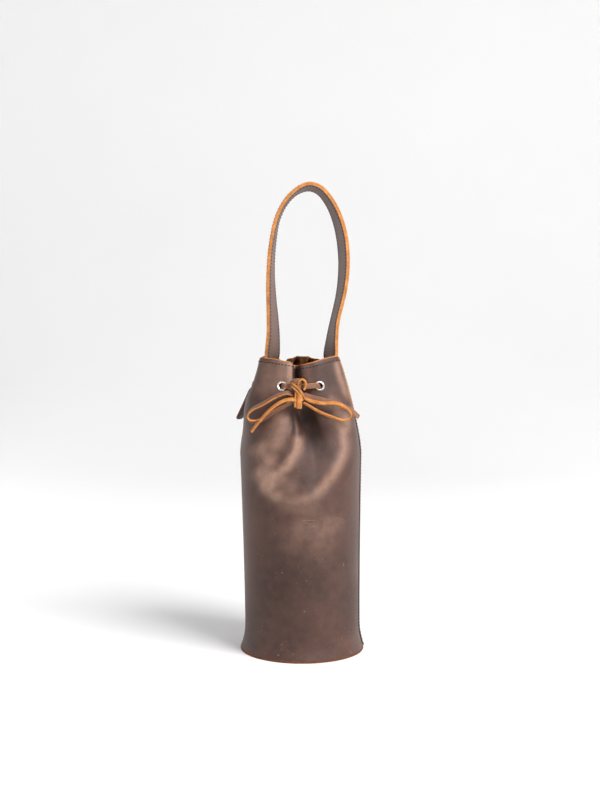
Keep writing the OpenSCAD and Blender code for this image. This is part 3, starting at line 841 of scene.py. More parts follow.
@dataclass(frozen=True)
class Thread(Finish):
    """Waxed thread: two plies that twist round each other."""

    dark: Point = (12, 8, 7)
    light: Point = (38, 27, 23)

    def dress(self, n: Nodes, shader: Node, where: Socket) -> None:
        """Twists two tones."""
        twist = n.add("ShaderNodeTexWave", wave_type="BANDS", bands_direction="DIAGONAL",
                      Vector=where, Scale=1900.0, Distortion=0.6)
        fuzz = n.noise(where, 2600, 4.0)
        share = n.plus(n.times(twist.outputs["Fac"], 0.6), n.times(fuzz, 0.4))
        n.feed(shader, "Base Color", n.mix(share, linear(*self.dark), linear(*self.light)))
        n.feed(shader, "Roughness", n.span(fuzz, 0.3, 0.7, 0.6, 0.8))
        n.feed(shader, "Specular IOR Level", 0.2)
        n.bump(shader, share, 0.00012, 0.7)


@dataclass(frozen=True)
class GreyBoard(Finish):
    """Pressed fibre board."""

    dark: Point = (110, 98, 84)
    light: Point = (152, 138, 118)

    def dress(self, n: Nodes, shader: Node, where: Socket) -> None:
        """Shades the fibres."""
        nap = n.effect(Effect.NAP, where, 0.5)
        n.feed(shader, "Base Color",
               n.mix(n.span(nap["Shade"], 0.35, 0.65), linear(*self.dark), linear(*self.light)))
        n.feed(shader, "Roughness", n.span(nap["Shade"], 0.3, 0.7, 0.8, 0.95))
        n.bump(shader, nap["Height"], 0.0001, 0.5)


@dataclass(frozen=True)
class PaperSweep(Finish):
    """White paper that the camera sees a little brighter than it is, more so at the left."""

    def dress(self, n: Nodes, shader: Node, where: Socket) -> None:
        """Feeds the paper's colour and its glow."""
        n.feed(shader, "Base Color",
               n.mix(n.noise(where, 3, 2.0), linear(240, 239, 238), linear(243, 242, 241)))
        n.feed(shader, "Roughness", 0.9)
        n.feed(shader, "Emission Color", (1, 1, 1, 1))
        seen = n.add("ShaderNodeLightPath").outputs["Is Camera Ray"]
        place = n.add("ShaderNodeSeparateXYZ", Vector=where).outputs
        glow = n.plus(n.span(place["Y"], 0.3, 1.3, 0.06, 0.045),
                      n.span(place["X"], -1.4, 0.1, 0.08, 0.0))
        n.feed(shader, "Emission Strength", n.times(seen, glow))


@dataclass
class Finishes:
    """All the carrier's materials, built once."""

    body: Material = None
    strap: Material = None
    tab: Material = None
    lace: Material = None
    flesh: Material = None
    lace_flesh: Material = None
    edge: Material = None
    base_edge: Material = None
    nickel: Material = None
    thread: Material = None
    board: Material = None

    def __post_init__(self) -> None:
        """Builds the shared effects, then each finish."""
        build_effects()
        self.body = GrainLeather("body_leather_grain", worn=True).build()
        self.strap = GrainLeather("strap_leather_grain", dark=(96, 74, 67), mid=(126, 101, 91),
                                  clouds=0.7).build()
        # the tab's grain is a darker copy of the body's, painted shade where it hangs out of the
        # key light
        self.tab = GrainLeather("tab_leather_grain", dark=(50, 36, 32), mid=(66, 48, 42),
                                clouds=0.7, gloss=0.55).build()
        self.lace = GrainLeather("lace_leather_grain", dark=(108, 74, 58), mid=(148, 108, 86),
                                 warm=(196, 140, 100), black=(64, 42, 32), size=1.6,
                                 gloss=0.58).build()
        self.flesh = Suede("flesh_side", (112, 66, 36), (192, 126, 70), 0.8).build()
        self.lace_flesh = Suede("lace_flesh_side", (160, 92, 40), (226, 154, 86), 0.15,
                                size=1.3).build()
        self.edge = Suede("cut_edge", (174, 104, 50), (230, 160, 93), 0.2, nap=0.00010,
                          size=1.8).build()
        self.base_edge = Suede("base_cut_edge", (88, 50, 32), (148, 88, 50), 0.5, nap=0.00010,
                               size=1.5).build()
        self.nickel = Nickel("nickel_plate").build()
        self.thread = Thread("waxed_thread").build()
        self.board = GreyBoard("grey_board").build()


@dataclass
class StitchRow:
    """A row of sewn stitches that lie on a surface.

    Attributes:
        thread: The thread's material.
        length: Length of a stitch.
        thick: Thickness of the thread.
        pitch: Distance from one stitch to the next.
        slant: Turn of each stitch out of the row, in degrees.
        sink: Share of the thread's thickness that is sunk in the leather.
        dive: How far its ends dive into the leather, as a share of the thickness.
    """

    thread: Material
    length: float = 1.95
    thick: float = 0.9
    pitch: float = 3.15
    slant: float = 7
    sink: float = 0.22
    dive: float = 0.55

    def template(self) -> tuple[Array, list]:
        """Shapes one stitch from a ball, and returns its points and faces."""
        select_only()
        bpy.ops.mesh.primitive_uv_sphere_add(segments=6, ring_count=6, radius=0.5)
        ball = bpy.context.active_object
        with editing():
            bpy.ops.transform.rotate(value=math.radians(90), orient_axis="Y",
                                     center_override=(0, 0, 0))
            bpy.ops.transform.resize(value=(self.length, self.thick, self.thick))
        verts, faces = taken_apart(ball)
        verts[:, 2] -= self.dive * self.thick * np.abs(verts[:, 0] / (self.length / 2)) ** 3
        return verts, faces

    def sew(self, name: str, line: Array, normals: Array, closed: bool = False) -> Piece:
        """Lays stitches along a line.

        Args:
            name: The row's name.
            line: Points on the surface.
            normals: The surface's outward normals there.
            closed: Whether the line's end joins its start.
        Returns:
            One mesh with all of the row's stitches.
        """
        if closed:
            line, normals = np.vstack([line, line[:1]]), np.vstack([normals, normals[:1]])
        s = lengths_along(line)
        count = max(1, int(round(s[-1] / self.pitch)))
        at = (np.arange(count) + 0.5) * s[-1] / count
        place, up, ahead, behind = (
            np.stack([np.interp(at + d, s, g[:, k]) for k in range(3)], 1)
            for g, d in ((line, 0), (normals, 0), (line, 0.4), (line, -0.4)))
        up = unit(up)
        t = square_to(up, ahead - behind)
        side = np.cross(up, t)
        c, q = math.cos(math.radians(self.slant)), math.sin(math.radians(self.slant))
        axes = (c * t + q * side, c * side - q * t, up)
        place = place + up * self.thick * (0.5 - self.sink)
        return mesh_object(name, *stamped(*self.template(), place, axes), [self.thread], angle=80)


@dataclass
class Lace:
    """The flat lace: its cut, and the places that it is measured from."""

    wall: SoftWall
    looks: Finishes
    width: float = 4.6
    thick: float = 1.8
    gap: float = 0.3
    corner: float = 0.32
    # how far the knot lies to the right of the eyelets' middle, and behind them
    knot_off: Span = (-2, -3.2)

    def __post_init__(self) -> None:
        """Works out how far out and in the held run lies, and the knot's place."""
        self.out = METAL + SEAT + self.gap + self.thick / 2
        self.inside = STACK + 3 * SEAT + METAL + 2 * self.gap + self.thick / 2
        degs = self.wall.eyelet_degs
        right, left = (self.beside(degs[k], -self.out, 0) for k in (0, -1))
        self.knot = np.array([(right[0] + left[0]) / 2 + self.knot_off[0],
                              min(right[1], left[1]) + self.knot_off[1], self.wall.eyelet_h])

    def band(self, name: str, line: Array, hints: Array, closed: bool = False,
             grain_in: bool = False) -> Piece:
        """Makes a stretch of lace.

        Args:
            name: Its name.
            line: Its middle line.
            hints: Its width direction at each point.
            closed: Whether the line's end joins its start.
            grain_in: Whether the grain side is the inner one instead of the outer one.
        Returns:
            The stretch, with softened corners.
        """
        w, t, r = self.width / 2, self.thick / 2, self.corner
        half = [(-w + r, -t), (-w / 3, -t - 0.05), (w / 3, -t - 0.05), (w - r, -t), (w, -t + r),
                (w + 0.06, 0), (w, t - r)]
        grain, flesh = (2, 0) if grain_in else (0, 2)
        slots = [grain] * 3 + [1] * 4 + [flesh] * 3 + [1] * 4
        return swept(name, line, hints, np.array(half + [(-x, -y) for x, y in half]), slots,
                     [self.looks.lace, self.looks.edge, self.looks.lace_flesh], closed, 60)

    def beside(self, a: float, depth: float, aside: float) -> Array:
        """Returns a point at a depth under the wall at the eyelets' height."""
        place, t, _, n = self.wall.at_eyelets(a)
        return place - depth * n + aside * t

    def rise(self, a: float) -> Array:
        """Returns the wall's rise at the eyelets' height."""
        return self.wall.at_eyelets(a)[2]


@dataclass
class Route:
    """A free stretch of the lace, measured from the knot.

    Attributes:
        points: Its points in millimetres.
        hint_a, hint_b: The lace's width direction at its start and its end.
        grain_in: Whether the grain side faces the other way.
    """

    points: Sequence[Point]
    hint_a: Point
    hint_b: Point
    far_end: str = "object"
    grain_in: bool = False


@dataclass
class Bow:
    """The bow: two loops, two tails and the knot."""

    lace: Lace
    routes: dict[str, Route] = field(default_factory=lambda: {
        "bow_loop_left": Route([
            (-5.3, -3.5, -7), (-11.3, -5, -5.5), (-21.3, -5.5, -9), (-32.3, -4.5, -15.5),
            (-41.8, -2.5, -20.5), (-46, -1.5, -26.5), (-43.6, -1.5, -31), (-37.3, -2.5, -31.5),
            (-30.3, -4, -28), (-21.3, -5.5, -22), (-12.3, -6, -17), (-4.8, -5.5, -13)],
            (0, 0.75, 0.66), (0, 0.62, -0.78)),
        "bow_loop_right": Route([
            (5.2, -6, -10), (11.7, -7.5, -13), (21.7, -8, -14.5), (32.7, -7, -14.5),
            (40.2, -5.5, -17.5), (45.7, -4, -22), (46.7, -3.5, -26), (44.2, -3.5, -29),
            (38.7, -4.5, -30), (29.7, -6, -27), (19.7, -7.5, -23), (11.7, -7.5, -18.5),
            (4.7, -5.5, -14.5)], (0, 0.92, 0.38), (0, 0.94, -0.34)),
        "lace_tail_left": Route([
            (-2.3, -9.8, -11.5), (-8.3, -11, -11), (-15.3, -11.5, -13), (-22.3, -11, -17.5),
            (-29.3, -10, -24), (-35.3, -8.5, -31), (-39.3, -7.5, -36), (-42.3, -6.5, -40)],
            (0, 0.92, 0.4), (0, 0.92, 0.4), "bare", True),
        "lace_tail_right": Route([
            (4.6, -2.8, -7.5), (12.7, -3.3, -10), (21.7, -3.2, -12.2), (31.7, -1.8, -15),
            (40.7, 0.2, -18.2), (48.2, 2, -22.4), (54.2, 3.5, -28)],
            (0, 0.5, 0.85), (0, 0.5, 0.85), "bare", True)})
    # each turn of the knot: its points, the lace's width direction, whether its grain faces in
    turns: Sequence[tuple[Sequence[Point], Point, bool]] = (
        (((-5.4, -1, 3), (-3.8, -5, 1.8), (0, -7.2, -1.5), (3, -7.4, -5.5), (5.6, -6.2, -9.8)),
         (0.2, 1, 0.1), True),
        (((-5.8, -1, 0.4), (-4.2, -5.2, -0.9), (-1, -7.5, -4), (1.5, -7.8, -7.6),
          (3.8, -6.6, -11.5)), (0.2, 1, 0.1), True),
        (((-1, -3.5, 1), (0.5, -5, 4.8), (3.2, -5.4, 6.6), (5.8, -5.4, 4.6), (6.2, -5.4, 1),
          (4.6, -5.6, -3)), (0, 1, 0), False),
        (((-7, -1.6, 2.6), (-4.5, -3.8, 4.2), (-1, -4.6, 5), (2.4, -4.4, 4.6)), (0, 0.25, 1), True),
        (((0.5, -6.5, -4), (0.9, -9, -8), (0.8, -9.6, -14), (0.3, -8.8, -19.3)), (1, 0, 0), False),
        (((-2, -6.2, -5), (-2.6, -8.2, -12), (-2.6, -7.8, -18)), (0.4, 1, 0), False))
    # radius of the turn that goes round the held stretch
    round_r: float = 3.6

    def build(self) -> None:
        """Makes the loops, the tails and the knot."""
        lace = self.lace
        for name, route in self.routes.items():
            line = curve_through(np.array(route.points) + lace.knot, 6)
            length = lengths_along(line)[-1]
            s = smooth(lengths_along(line) / length * 2.5 - 0.75)[:, None]
            hints = np.array(route.hint_a) * (1 - s) + np.array(route.hint_b) * s
            piece = lace.band(name + "_lace" if name.startswith("bow") else "bow_" + name,
                              line, hints, grain_in=route.grain_in)
            settle(piece, "bow", "lace_leather", name)
            log.info("%s: %.0f mm of lace", name, length)
        bands = []
        for k, (turn, hint, grain_in) in enumerate(self.turns):
            line = curve_through(np.array(turn) + lace.knot, 6)
            hints = np.tile(np.array(hint, float), (len(line), 1))
            bands.append(lace.band(f"knot_turn_{k}", line, hints, grain_in=grain_in))
        # the turn that goes round the held stretch
        angles, r = np.radians(np.arange(0, 360, 15)), self.round_r
        ring = lace.knot + np.stack([0.4 * np.sin(angles), r * np.cos(angles),
                                     r * np.sin(angles)], 1)
        bands.append(lace.band("knot_round", ring, np.tile([1.0, 0, 0], (len(ring), 1)), True))
        settle(joined("bow_knot_lace", bands), "bow", "lace_leather", "bow_knot")


@dataclass
class Studio:
    """The camera, the light, the floor and the backdrop, in metres.

    Attributes:
        lens_px: The camera's focal length in pixels of the photograph, which is sensor_px high.
        place, pitch: Where the camera stands, and how far it looks down in degrees.
        lamps: Each lamp's name, place, aim, size and watts; the first is the key from the right.
        floor: Its span from the front to where it curves up, its half width, the curve's radius
            and the backdrop's height.
    """

    lens_px: float = 1199
    sensor_px: float = 800
    place: Point = (-0.0019, -1.115, 0.305)
    pitch: float = 3.68
    lamps: Sequence[tuple[str, Point, Point, float, float]] = (
        ("key", (1.25, -1.2, 1.9), (0, 0, 0.15), 1.2, 72),
        ("rim_left", (-1.2, 1.0, 0.5), (0, 0, 0.15), 0.6, 3),
        ("rim_right", (1.2, 1.1, 0.4), (0, 0, 0.12), 0.6, 1.5))
    floor: tuple[float, float, float, float, float] = (-3.0, 1.2, 6, 0.9, 5)

    @staticmethod
    def put(name: str, data: bpy.types.ID, place: Point, turn: Sequence[float]) -> Piece:
        """Places a camera or a lamp in the scene."""
        thing = bpy.data.objects.new(name, data)
        thing.location = place
        thing.rotation_euler = turn
        bpy.context.scene.collection.objects.link(thing)
        return thing

    def camera(self) -> None:
        """Sets the camera at the photograph's place."""
        data = bpy.data.cameras.new("camera")
        data.sensor_width = 36
        data.lens = self.lens_px * data.sensor_width / self.sensor_px
        data.clip_end = 50
        bpy.context.scene.camera = self.put("camera", data, self.place,
                                            (math.radians(90 - self.pitch), 0, 0))

    def light(self) -> None:
        """Lights the scene softly from all round, with a broad key from the right."""
        scene = bpy.context.scene
        scene.view_settings.view_transform = "Standard"
        world = bpy.data.worlds.new("studio")
        scene.world = world
        world.use_nodes = True
        n = Nodes(world.node_tree)
        back = n.only("BACKGROUND")
        path = n.add("ShaderNodeLightPath").outputs
        seen = n.math("MAXIMUM", path["Is Camera Ray"], path["Is Glossy Ray"])
        n.feed(back, "Color", n.mix(seen, (0.96, 0.97, 1.0, 1), (0.93, 0.93, 0.93, 1)))
        n.feed(back, "Strength", n.span(seen, 0, 1, 0.44, 1.0))
        for name, place, aim, size, watts in self.lamps:
            data = bpy.data.lights.new(name, "AREA")
            data.size = size
            data.energy = watts
            look = (Vector(aim) - Vector(place)).to_track_quat("-Z", "Y")
            self.put(name, data, place, look.to_euler())

    def stage(self) -> None:
        """Makes the floor, which curves up into the backdrop."""
        front, back, side, bend, top = self.floor
        turns = [math.radians(90 * k / 16) for k in range(1, 17)]
        profile = [(front, 0), (back, 0)]
        profile += [(back + bend * math.sin(x), bend - bend * math.cos(x)) for x in turns]
        profile.append((back + bend, top))
        p = np.array([[x, y, z] for y, z in profile for x in (-side, side)]) / MM
        faces = [(j, j + 1, j + 3, j + 2) for j in range(0, len(p) - 2, 2)]
        mesh_object("paper_sweep", p, faces, [PaperSweep("paper_sweep").build()],
                             angle=60)


@dataclass
class Bag:
    """The body panel, the facing band, the base and the seams that join them.

    Attributes:
        wall, looks: Its form and its materials.
        leather, facing, glue: Thicknesses of the panel, the facing and what joins them.
        facing_h: Height of the facing band.
        lap_end, lap_w: Panel angle of the lap's inner end, and the lap's width.
        lap_rise, lap_swing: How far the lap stands out, and how many degrees it swings back.
        swing_from: Height below which it swings, with its reach.
        dyed_h, dark_h: Heights below which the cut edges are dyed, and dark.
        level_h: How far below the rim the normals start to turn level, with its reach.
        hole_r: Radius of the eyelets' holes.
    """

    wall: SoftWall
    looks: Finishes
    leather: float = 1.6
    facing: float = 1.4
    glue: float = 0.1
    facing_h: float = 42
    lap_end: float = 84
    lap_w: float = 12
    lap_rise: float = 1.1
    lap_swing: float = 14
    swing_from: Span = (206, 42)
    dyed_h: float = 226
    dark_h: float = 4
    level_h: Span = (12, 10)
    hole_r: float = 3.35

    def __post_init__(self) -> None:
        """Works out the base's radius, the lap's width in degrees and its outer end."""
        form = self.wall.form
        self.base_r = form.body_d / 2 + form.foot_flare + 0.3
        self.lap_deg = self.lap_w / form.body_d / math.pi * 360
        self.lap_start = self.lap_end - self.lap_deg

    @staticmethod
    def spaced(*spans: tuple[float, float, int]) -> list[Array]:
        """Returns for each span its steps, from its start to just before its end."""
        return [np.linspace(lo, hi, n, endpoint=False) for lo, hi, n in spans]

    def rows(self) -> Array:
        """Returns the heights of the panel's rows: close together where the wall is folded."""
        top = self.wall.form.body_h
        rows = self.spaced((2.1, 108, 30), (108, 134, 25), (134, 232, 60), (232, top - 4, 28))
        return np.r_[tuple(rows) + (top - 4, top - np.array([2.6, 1.4, 0.6, 0.2, 0]))]

    def columns(self) -> Array:
        """Returns the panel angles of the columns, from the lap's outer end round to its inner."""
        start, end = self.lap_start, self.lap_end
        parts = self.spaced((start, end + 4, 26), (end + 4, 275, 106), (275, start + 360, 178),
                            (start + 360, end + 360, 9))
        return np.r_[tuple(parts) + (end + 360,)]

    def swung(self, angles: Array, heights: Array) -> Array:
        """Returns panel angles for each height: the lap swings backwards below the shoulder."""
        knots = (self.lap_end + 4, 180, 350, 360 + self.lap_start)
        weight = np.interp(angles, knots, (1, 0, 0, 1))
        return angles + self.lap_swing * (1 - grown(heights[:, None], self.swing_from)) * weight

    def holes(self, p: Array, columns: int) -> Array:
        """Returns which cells of a grid are leather and not an eyelet's hole."""
        keep = np.ones((p.shape[0] - 1, columns), bool)
        mid = (p[:-1] + np.roll(p[1:], -1, 1))[:, :columns] / 2
        for deg in self.wall.eyelet_degs:
            centre, _, _, n = self.wall.at_eyelets(deg)
            away = mid - centre
            flat = np.linalg.norm(away - (away @ n)[..., None] * n, axis=-1)
            keep &= ~((flat < self.hole_r) & (np.abs(away @ n) < 6))
        return keep

    def levelled(self, normals: Array, heights: Array) -> Array:
        """Returns the normals turned level towards the rim, so that its edge stays even."""
        below, reach = self.level_h
        near = grown(heights, (self.wall.form.body_h - below, reach))[:, None]
        level = normals.copy()
        level[..., 2] *= 1 - near
        return unit(level)

    @staticmethod
    def pull(p: Array, n: Array) -> Array:
        """Returns how strongly the leather is bent outwards at each place, 0 to 1."""
        total = np.zeros(p.shape[:2])
        for step in (2, 5):
            for axis in (0, 1):
                size = p.shape[axis]
                a, b = (np.take(p, np.clip(np.arange(size) + way, 0, size - 1), axis)
                        for way in (-step, step))
                span = np.linalg.norm(b - a, axis=-1) + 1e-6
                total += ((p - (a + b) / 2) * n).sum(-1) / span ** 2 * 8
        return np.clip((total - 0.35) / 1.6, 0, 1)

    def panel(self) -> None:
        """Makes the body panel: one sheet that comes round from behind and laps at the right."""
        looks, angles, heights = self.looks, self.columns(), self.rows()
        outer, facing = self.wall.grid(self.swung(angles, heights), heights)
        normals = self.levelled(facing, heights)
        over = 1 - smooth((angles - self.lap_end - 0.6) / 2.4)
        outer = outer + normals * (self.lap_rise * over)[None, :, None]
        thick = (self.leather - (self.leather - self.lap_rise + 0.04) * over)[None, :, None]
        inner = outer - normals * thick
        # the rim's outer corner is rounded by its burnishing
        top = np.clip(1 - (self.wall.form.body_h - heights) / 2.6, 0, 1)[:, None, None]
        outer = outer - normals * np.minimum(0.45, thick * 0.3) * top ** 3
        # strokes of painted highlight and painted shade; bent places are also lighter, as pulled-up
        # leather is, and this also paints highlights on the ridges
        highlight_paint, deep = (strokes_at(strokes, outer, facing, 2.5) for strokes in (PAINTED_HIGHLIGHTS, PAINTED_SHADE))
        piece = thick_sheet("body_panel_leather", outer, inner, self.holes(outer, len(angles) - 1),
                            [looks.body, looks.flesh, looks.edge, looks.base_edge],
                            {"bend_and_highlight": np.clip(self.pull(outer, normals) * 0.7 + highlight_paint, 0, 1),
                             "deep": np.clip(deep, 0, 1)})
        # the lap's edge is dyed and burnished below the shoulder, and the foot's edge is dark
        for face in piece.data.polygons:
            if face.material_index == 2 and face.center.z < self.dyed_h * MM:
                face.material_index = 3 if face.center.z < self.dark_h * MM else 0
        settle(piece, "bag", "body_leather", "body_panel")

    def band(self) -> None:
        """Makes the facing band inside the mouth, which stands a little above the panel."""
        looks, rim = self.looks, self.wall.form.body_h
        heights = np.r_[np.linspace(rim - self.facing_h, rim - 3, 30),
                        rim + np.array([-1.4, 0, 0.7])]
        outer, normals = (x[:, :-1] for x in self.wall.grid(np.linspace(-180, 180, 241), heights))
        normals = self.levelled(normals, heights)
        depth = self.leather + self.glue
        top = np.clip((heights - rim + 1.4) / 2.1, 0, 1)[:, None, None]
        inner = outer - normals * (depth + self.facing) + normals * 0.3 * top
        piece = thick_sheet("mouth_facing_leather", outer - normals * depth, inner,
                            self.holes(outer, outer.shape[1]),
                            [looks.edge, looks.flesh, looks.edge])
        settle(piece, "bag", "facing_leather", "mouth_facing")

    def base(self) -> None:
        """Makes the base disc from a cylinder, with worn edges and a sewing channel below."""
        select_only()
        bpy.ops.mesh.primitive_cylinder_add(vertices=128, radius=self.base_r * MM, depth=2 * MM,
                                            location=(0, 0, 1 * MM))
        disc = bpy.context.active_object
        disc.name = "base_disc_leather"
        with editing():
            bpy.ops.mesh.select_all(action="DESELECT")
        for face in disc.data.polygons:
            face.select = abs(face.normal.z) > 0.9
        with editing():
            for wide, deep in ((2.6, 0), (0.5, -0.35), (0.5, 0.35), (12, 0)):
                bpy.ops.mesh.inset(thickness=wide * MM, depth=deep * MM)
        select_only(disc)
        bpy.ops.object.transform_apply(location=True, rotation=True, scale=True)
        bevel = disc.modifiers.new("worn_edge", "BEVEL")
        bevel.width = 0.45 * MM
        bevel.segments = 3
        bevel.limit_method = "ANGLE"
        bevel.angle_limit = math.radians(60)
        bpy.ops.object.modifier_apply(modifier="worn_edge")
        for material in (self.looks.body, self.looks.base_edge):
            disc.data.materials.append(material)
        for face in disc.data.polygons:
            face.material_index = 0 if abs(face.normal.z) > 0.95 else 1
        bpy.ops.object.shade_smooth_by_angle(angle=math.radians(40))
        settle(disc, "bag", "base_leather", "base_disc")

    def seams(self) -> None:
        """Sews the rim, the lap at the right, and the foot."""
        row, top = StitchRow(self.looks.thread), self.wall.form.body_h
        angles = np.linspace(self.lap_end - 360, self.lap_end, 720)
        p, n = (x[1] for x in self.wall.grid(angles, top - np.array([4.8, 3.5, 2.4])))
        lift = self.lap_rise * smooth(angles - self.lap_start)[:, None]
        rows = [row.sew("rim_stitches", p + n * lift, n),
                row.sew("rim_stitches_inside", p - n * STACK, -n)]
        heights = np.linspace(6, top - 11, 180)
        for name, deg in (("lap_stitches_back", self.lap_end - 2.2),
                          ("lap_stitches_front", self.lap_start + 2.6)):
            angles = self.swung(np.array([deg - 1, deg, deg + 1]), heights)
            p, n = (x[:, 1] for x in self.wall.grid(angles, heights))
            rows.append(row.sew(name, p + n * self.lap_rise, n))
        turn, r = np.radians(np.arange(0, 360, 1.0)), self.base_r - 2.85
        ring = np.stack([r * np.cos(turn), r * np.sin(turn), np.full(turn.shape, 0.7)], 1)
        rows.append(row.sew("base_stitches", ring, np.tile(-UP, (len(ring), 1)), True))
        settle(joined("seam_stitches", rows), "bag", "body_leather")

    def board(self) -> None:
        """Gives the stiffening board its finish."""
        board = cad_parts["base_board"]
        board.data.materials.clear()
        board.data.materials.append(self.looks.board)


@dataclass
class Eyelets:
    """Six nickel eyelets, rolled outside and set on washers inside."""

    wall: SoftWall
    looks: Finishes
    hole_r: float = 2.65
    flange_r: float = 4.6

    @staticmethod
    def ring(profile: Sequence[tuple[float, float]]) -> tuple[Array, list]:
        """Spins a profile, radius and height, into a closed ring's points and faces."""
        select_only()
        bpy.ops.mesh.primitive_circle_add(vertices=len(profile), radius=1)
        piece = bpy.context.active_object
        for v, (r, z) in zip(piece.data.vertices, profile):
            v.co = (r, 0, z)
        with editing():
            bpy.ops.mesh.select_all(action="SELECT")
            bpy.ops.mesh.spin(steps=40, angle=math.radians(360), center=(0, 0, 0), axis=(0, 0, 1))
            bpy.ops.mesh.select_all(action="SELECT")
            bpy.ops.mesh.remove_doubles(threshold=0.001)
            bpy.ops.mesh.normals_make_consistent(inside=False)
        return taken_apart(piece)

    def build(self) -> None:
        """Makes one eyelet and one washer, and sets a copy of each at every hole."""
        r0, r1, s, m = self.hole_r, self.flange_r, SEAT, METAL
        deep = STACK + 3 * s
        roll = [(r0, -deep), (r0 + m, -deep), (r0 + m, s * 0.6), (r1 - 0.25, s * 0.35),
                (r1, s * 0.35 + 0.12), (r1 - 0.05, s * 0.35 + 0.35), (r1 - 0.35, s + m),
                (r1 - 0.8, s + m + 0.3), (r0 + 0.75, s + m + 0.4), (r0 + 0.35, s + m + 0.25),
                (r0 + 0.08, s + m - 0.05), (r0, s)]
        wash = [(r0, -deep - m), (r0 + 0.25, -deep - m - 0.25), (r0 + 0.7, -deep - m - 0.2),
                (r1 - 0.3, -deep - m), (r1, -deep - m * 0.5), (r1 - 0.1, -deep), (r0, -deep)]
        place, t, _, n = (np.array(x) for x in zip(*map(self.wall.at_eyelets,
                                                         self.wall.eyelet_degs)))
        for name, profile, node in (("eyelet_rings", roll, "eyelets"),
                                    ("washer_rings", wash, "eyelet_washers")):
            copies = stamped(*self.ring(profile), place, (t, np.cross(n, t), n))
            settle(mesh_object(name, *copies, [self.looks.nickel], angle=30), "bag", "nickel",
                   node)


@dataclass
class HeldLace:
    """The run of the lace that goes in and out of the eyelets round the mouth."""

    lace: Lace
    # panel angle of the tab, how far it sags, its thickness and its width on the lace
    tab_deg: float = -100.5
    tab_sag: float = 3
    tab_t: float = 1.6
    tab_neck: float = 7
    # how far the run bows in at the back, and its reach beside and inside an eyelet's hole
    back_bow: float = 3
    hop: float = 5.29
    hole: float = 1.45

    def __post_init__(self) -> None:
        """Works out the axis on which the side tab hangs."""
        self.bore = self.lace.thick / 2 + 0.4
        self.stand = self.bore + self.tab_t + self.lace.gap + 0.8

    def tab_axis(self, aside: float) -> Array:
        """Returns a point of the tab's axis."""
        return self.lace.beside(self.tab_deg, -self.stand, aside) - [0, 0, self.tab_sag]

    def way(self, a: float, direction: int) -> tuple[list, list]:
        """Returns the points and width hints of a pass through an eyelet, from outside in."""
        lace = self.lace
        steps = ((-lace.out, -self.hop), (-lace.out * 0.9, -self.hole), (STACK / 2, 0),
                 (lace.inside * 0.95, self.hole), (lace.inside, self.hop))
        points = [lace.beside(a, depth, direction * aside) for depth, aside in steps]
        return points, [lace.rise(a)] * 5

    def run(self, a0: float, a1: float) -> tuple[list, list]:
        """Returns the points and hints of a stretch along the wall's inside."""
        picks = [a0 + (a1 - a0) * k / 5 for k in (2, 3)]
        lace = self.lace
        return ([lace.beside(a, lace.inside + lace.gap, 0) for a in picks],
                [lace.rise(a) for a in picks])

    def build(self) -> None:
        """Makes the closed run."""
        lace = self.lace
        degs = lace.wall.eyelet_degs

        def back(part: tuple[list, list]) -> tuple[list, list]:
            """Returns a part walked the other way."""
            return part[0][::-1], part[1][::-1]

        def short(part: tuple[list, list]) -> tuple[list, list]:
            """Returns a part without its last point."""
            return part[0][:-1], part[1][:-1]

        p, q = (lace.beside(degs[k], lace.inside + lace.thick, 0) for k in (2, 3))
        across = [p + (q - p) * s - [0, self.back_bow * math.sin(math.pi * s), 0]
                  for s in (0.07, 0.3, 0.7, 0.93)]
        parts = [([lace.knot + [d, 0, 0] for d in (-5.5, 0, 5.5)], [UP] * 3),
                 self.way(degs[0], 1), self.run(degs[0], degs[1]), back(self.way(degs[1], -1)),
                 short(self.way(degs[2], 1)), (across, [UP] * 4),
                 back(short(self.way(degs[3], -1))),
                 ([self.tab_axis(s * (self.tab_neck / 2 + 1)) for s in (-1, 1)],
                  [lace.rise(self.tab_deg)] * 2),
                 self.way(degs[4], 1), self.run(degs[4], degs[5]), back(self.way(degs[5], -1))]
        points, hints = (np.array([x for part in parts for x in part[k]]) for k in (0, 1))
        piece = lace.band("held_lace", curve_through(points, 4, True),
                          curve_through(hints, 4, True), True, grain_in=True)
        settle(piece, "bag", "lace_leather", "lace_round_mouth")
        log.info("held lace: %.0f mm", lengths_along(points)[-1])


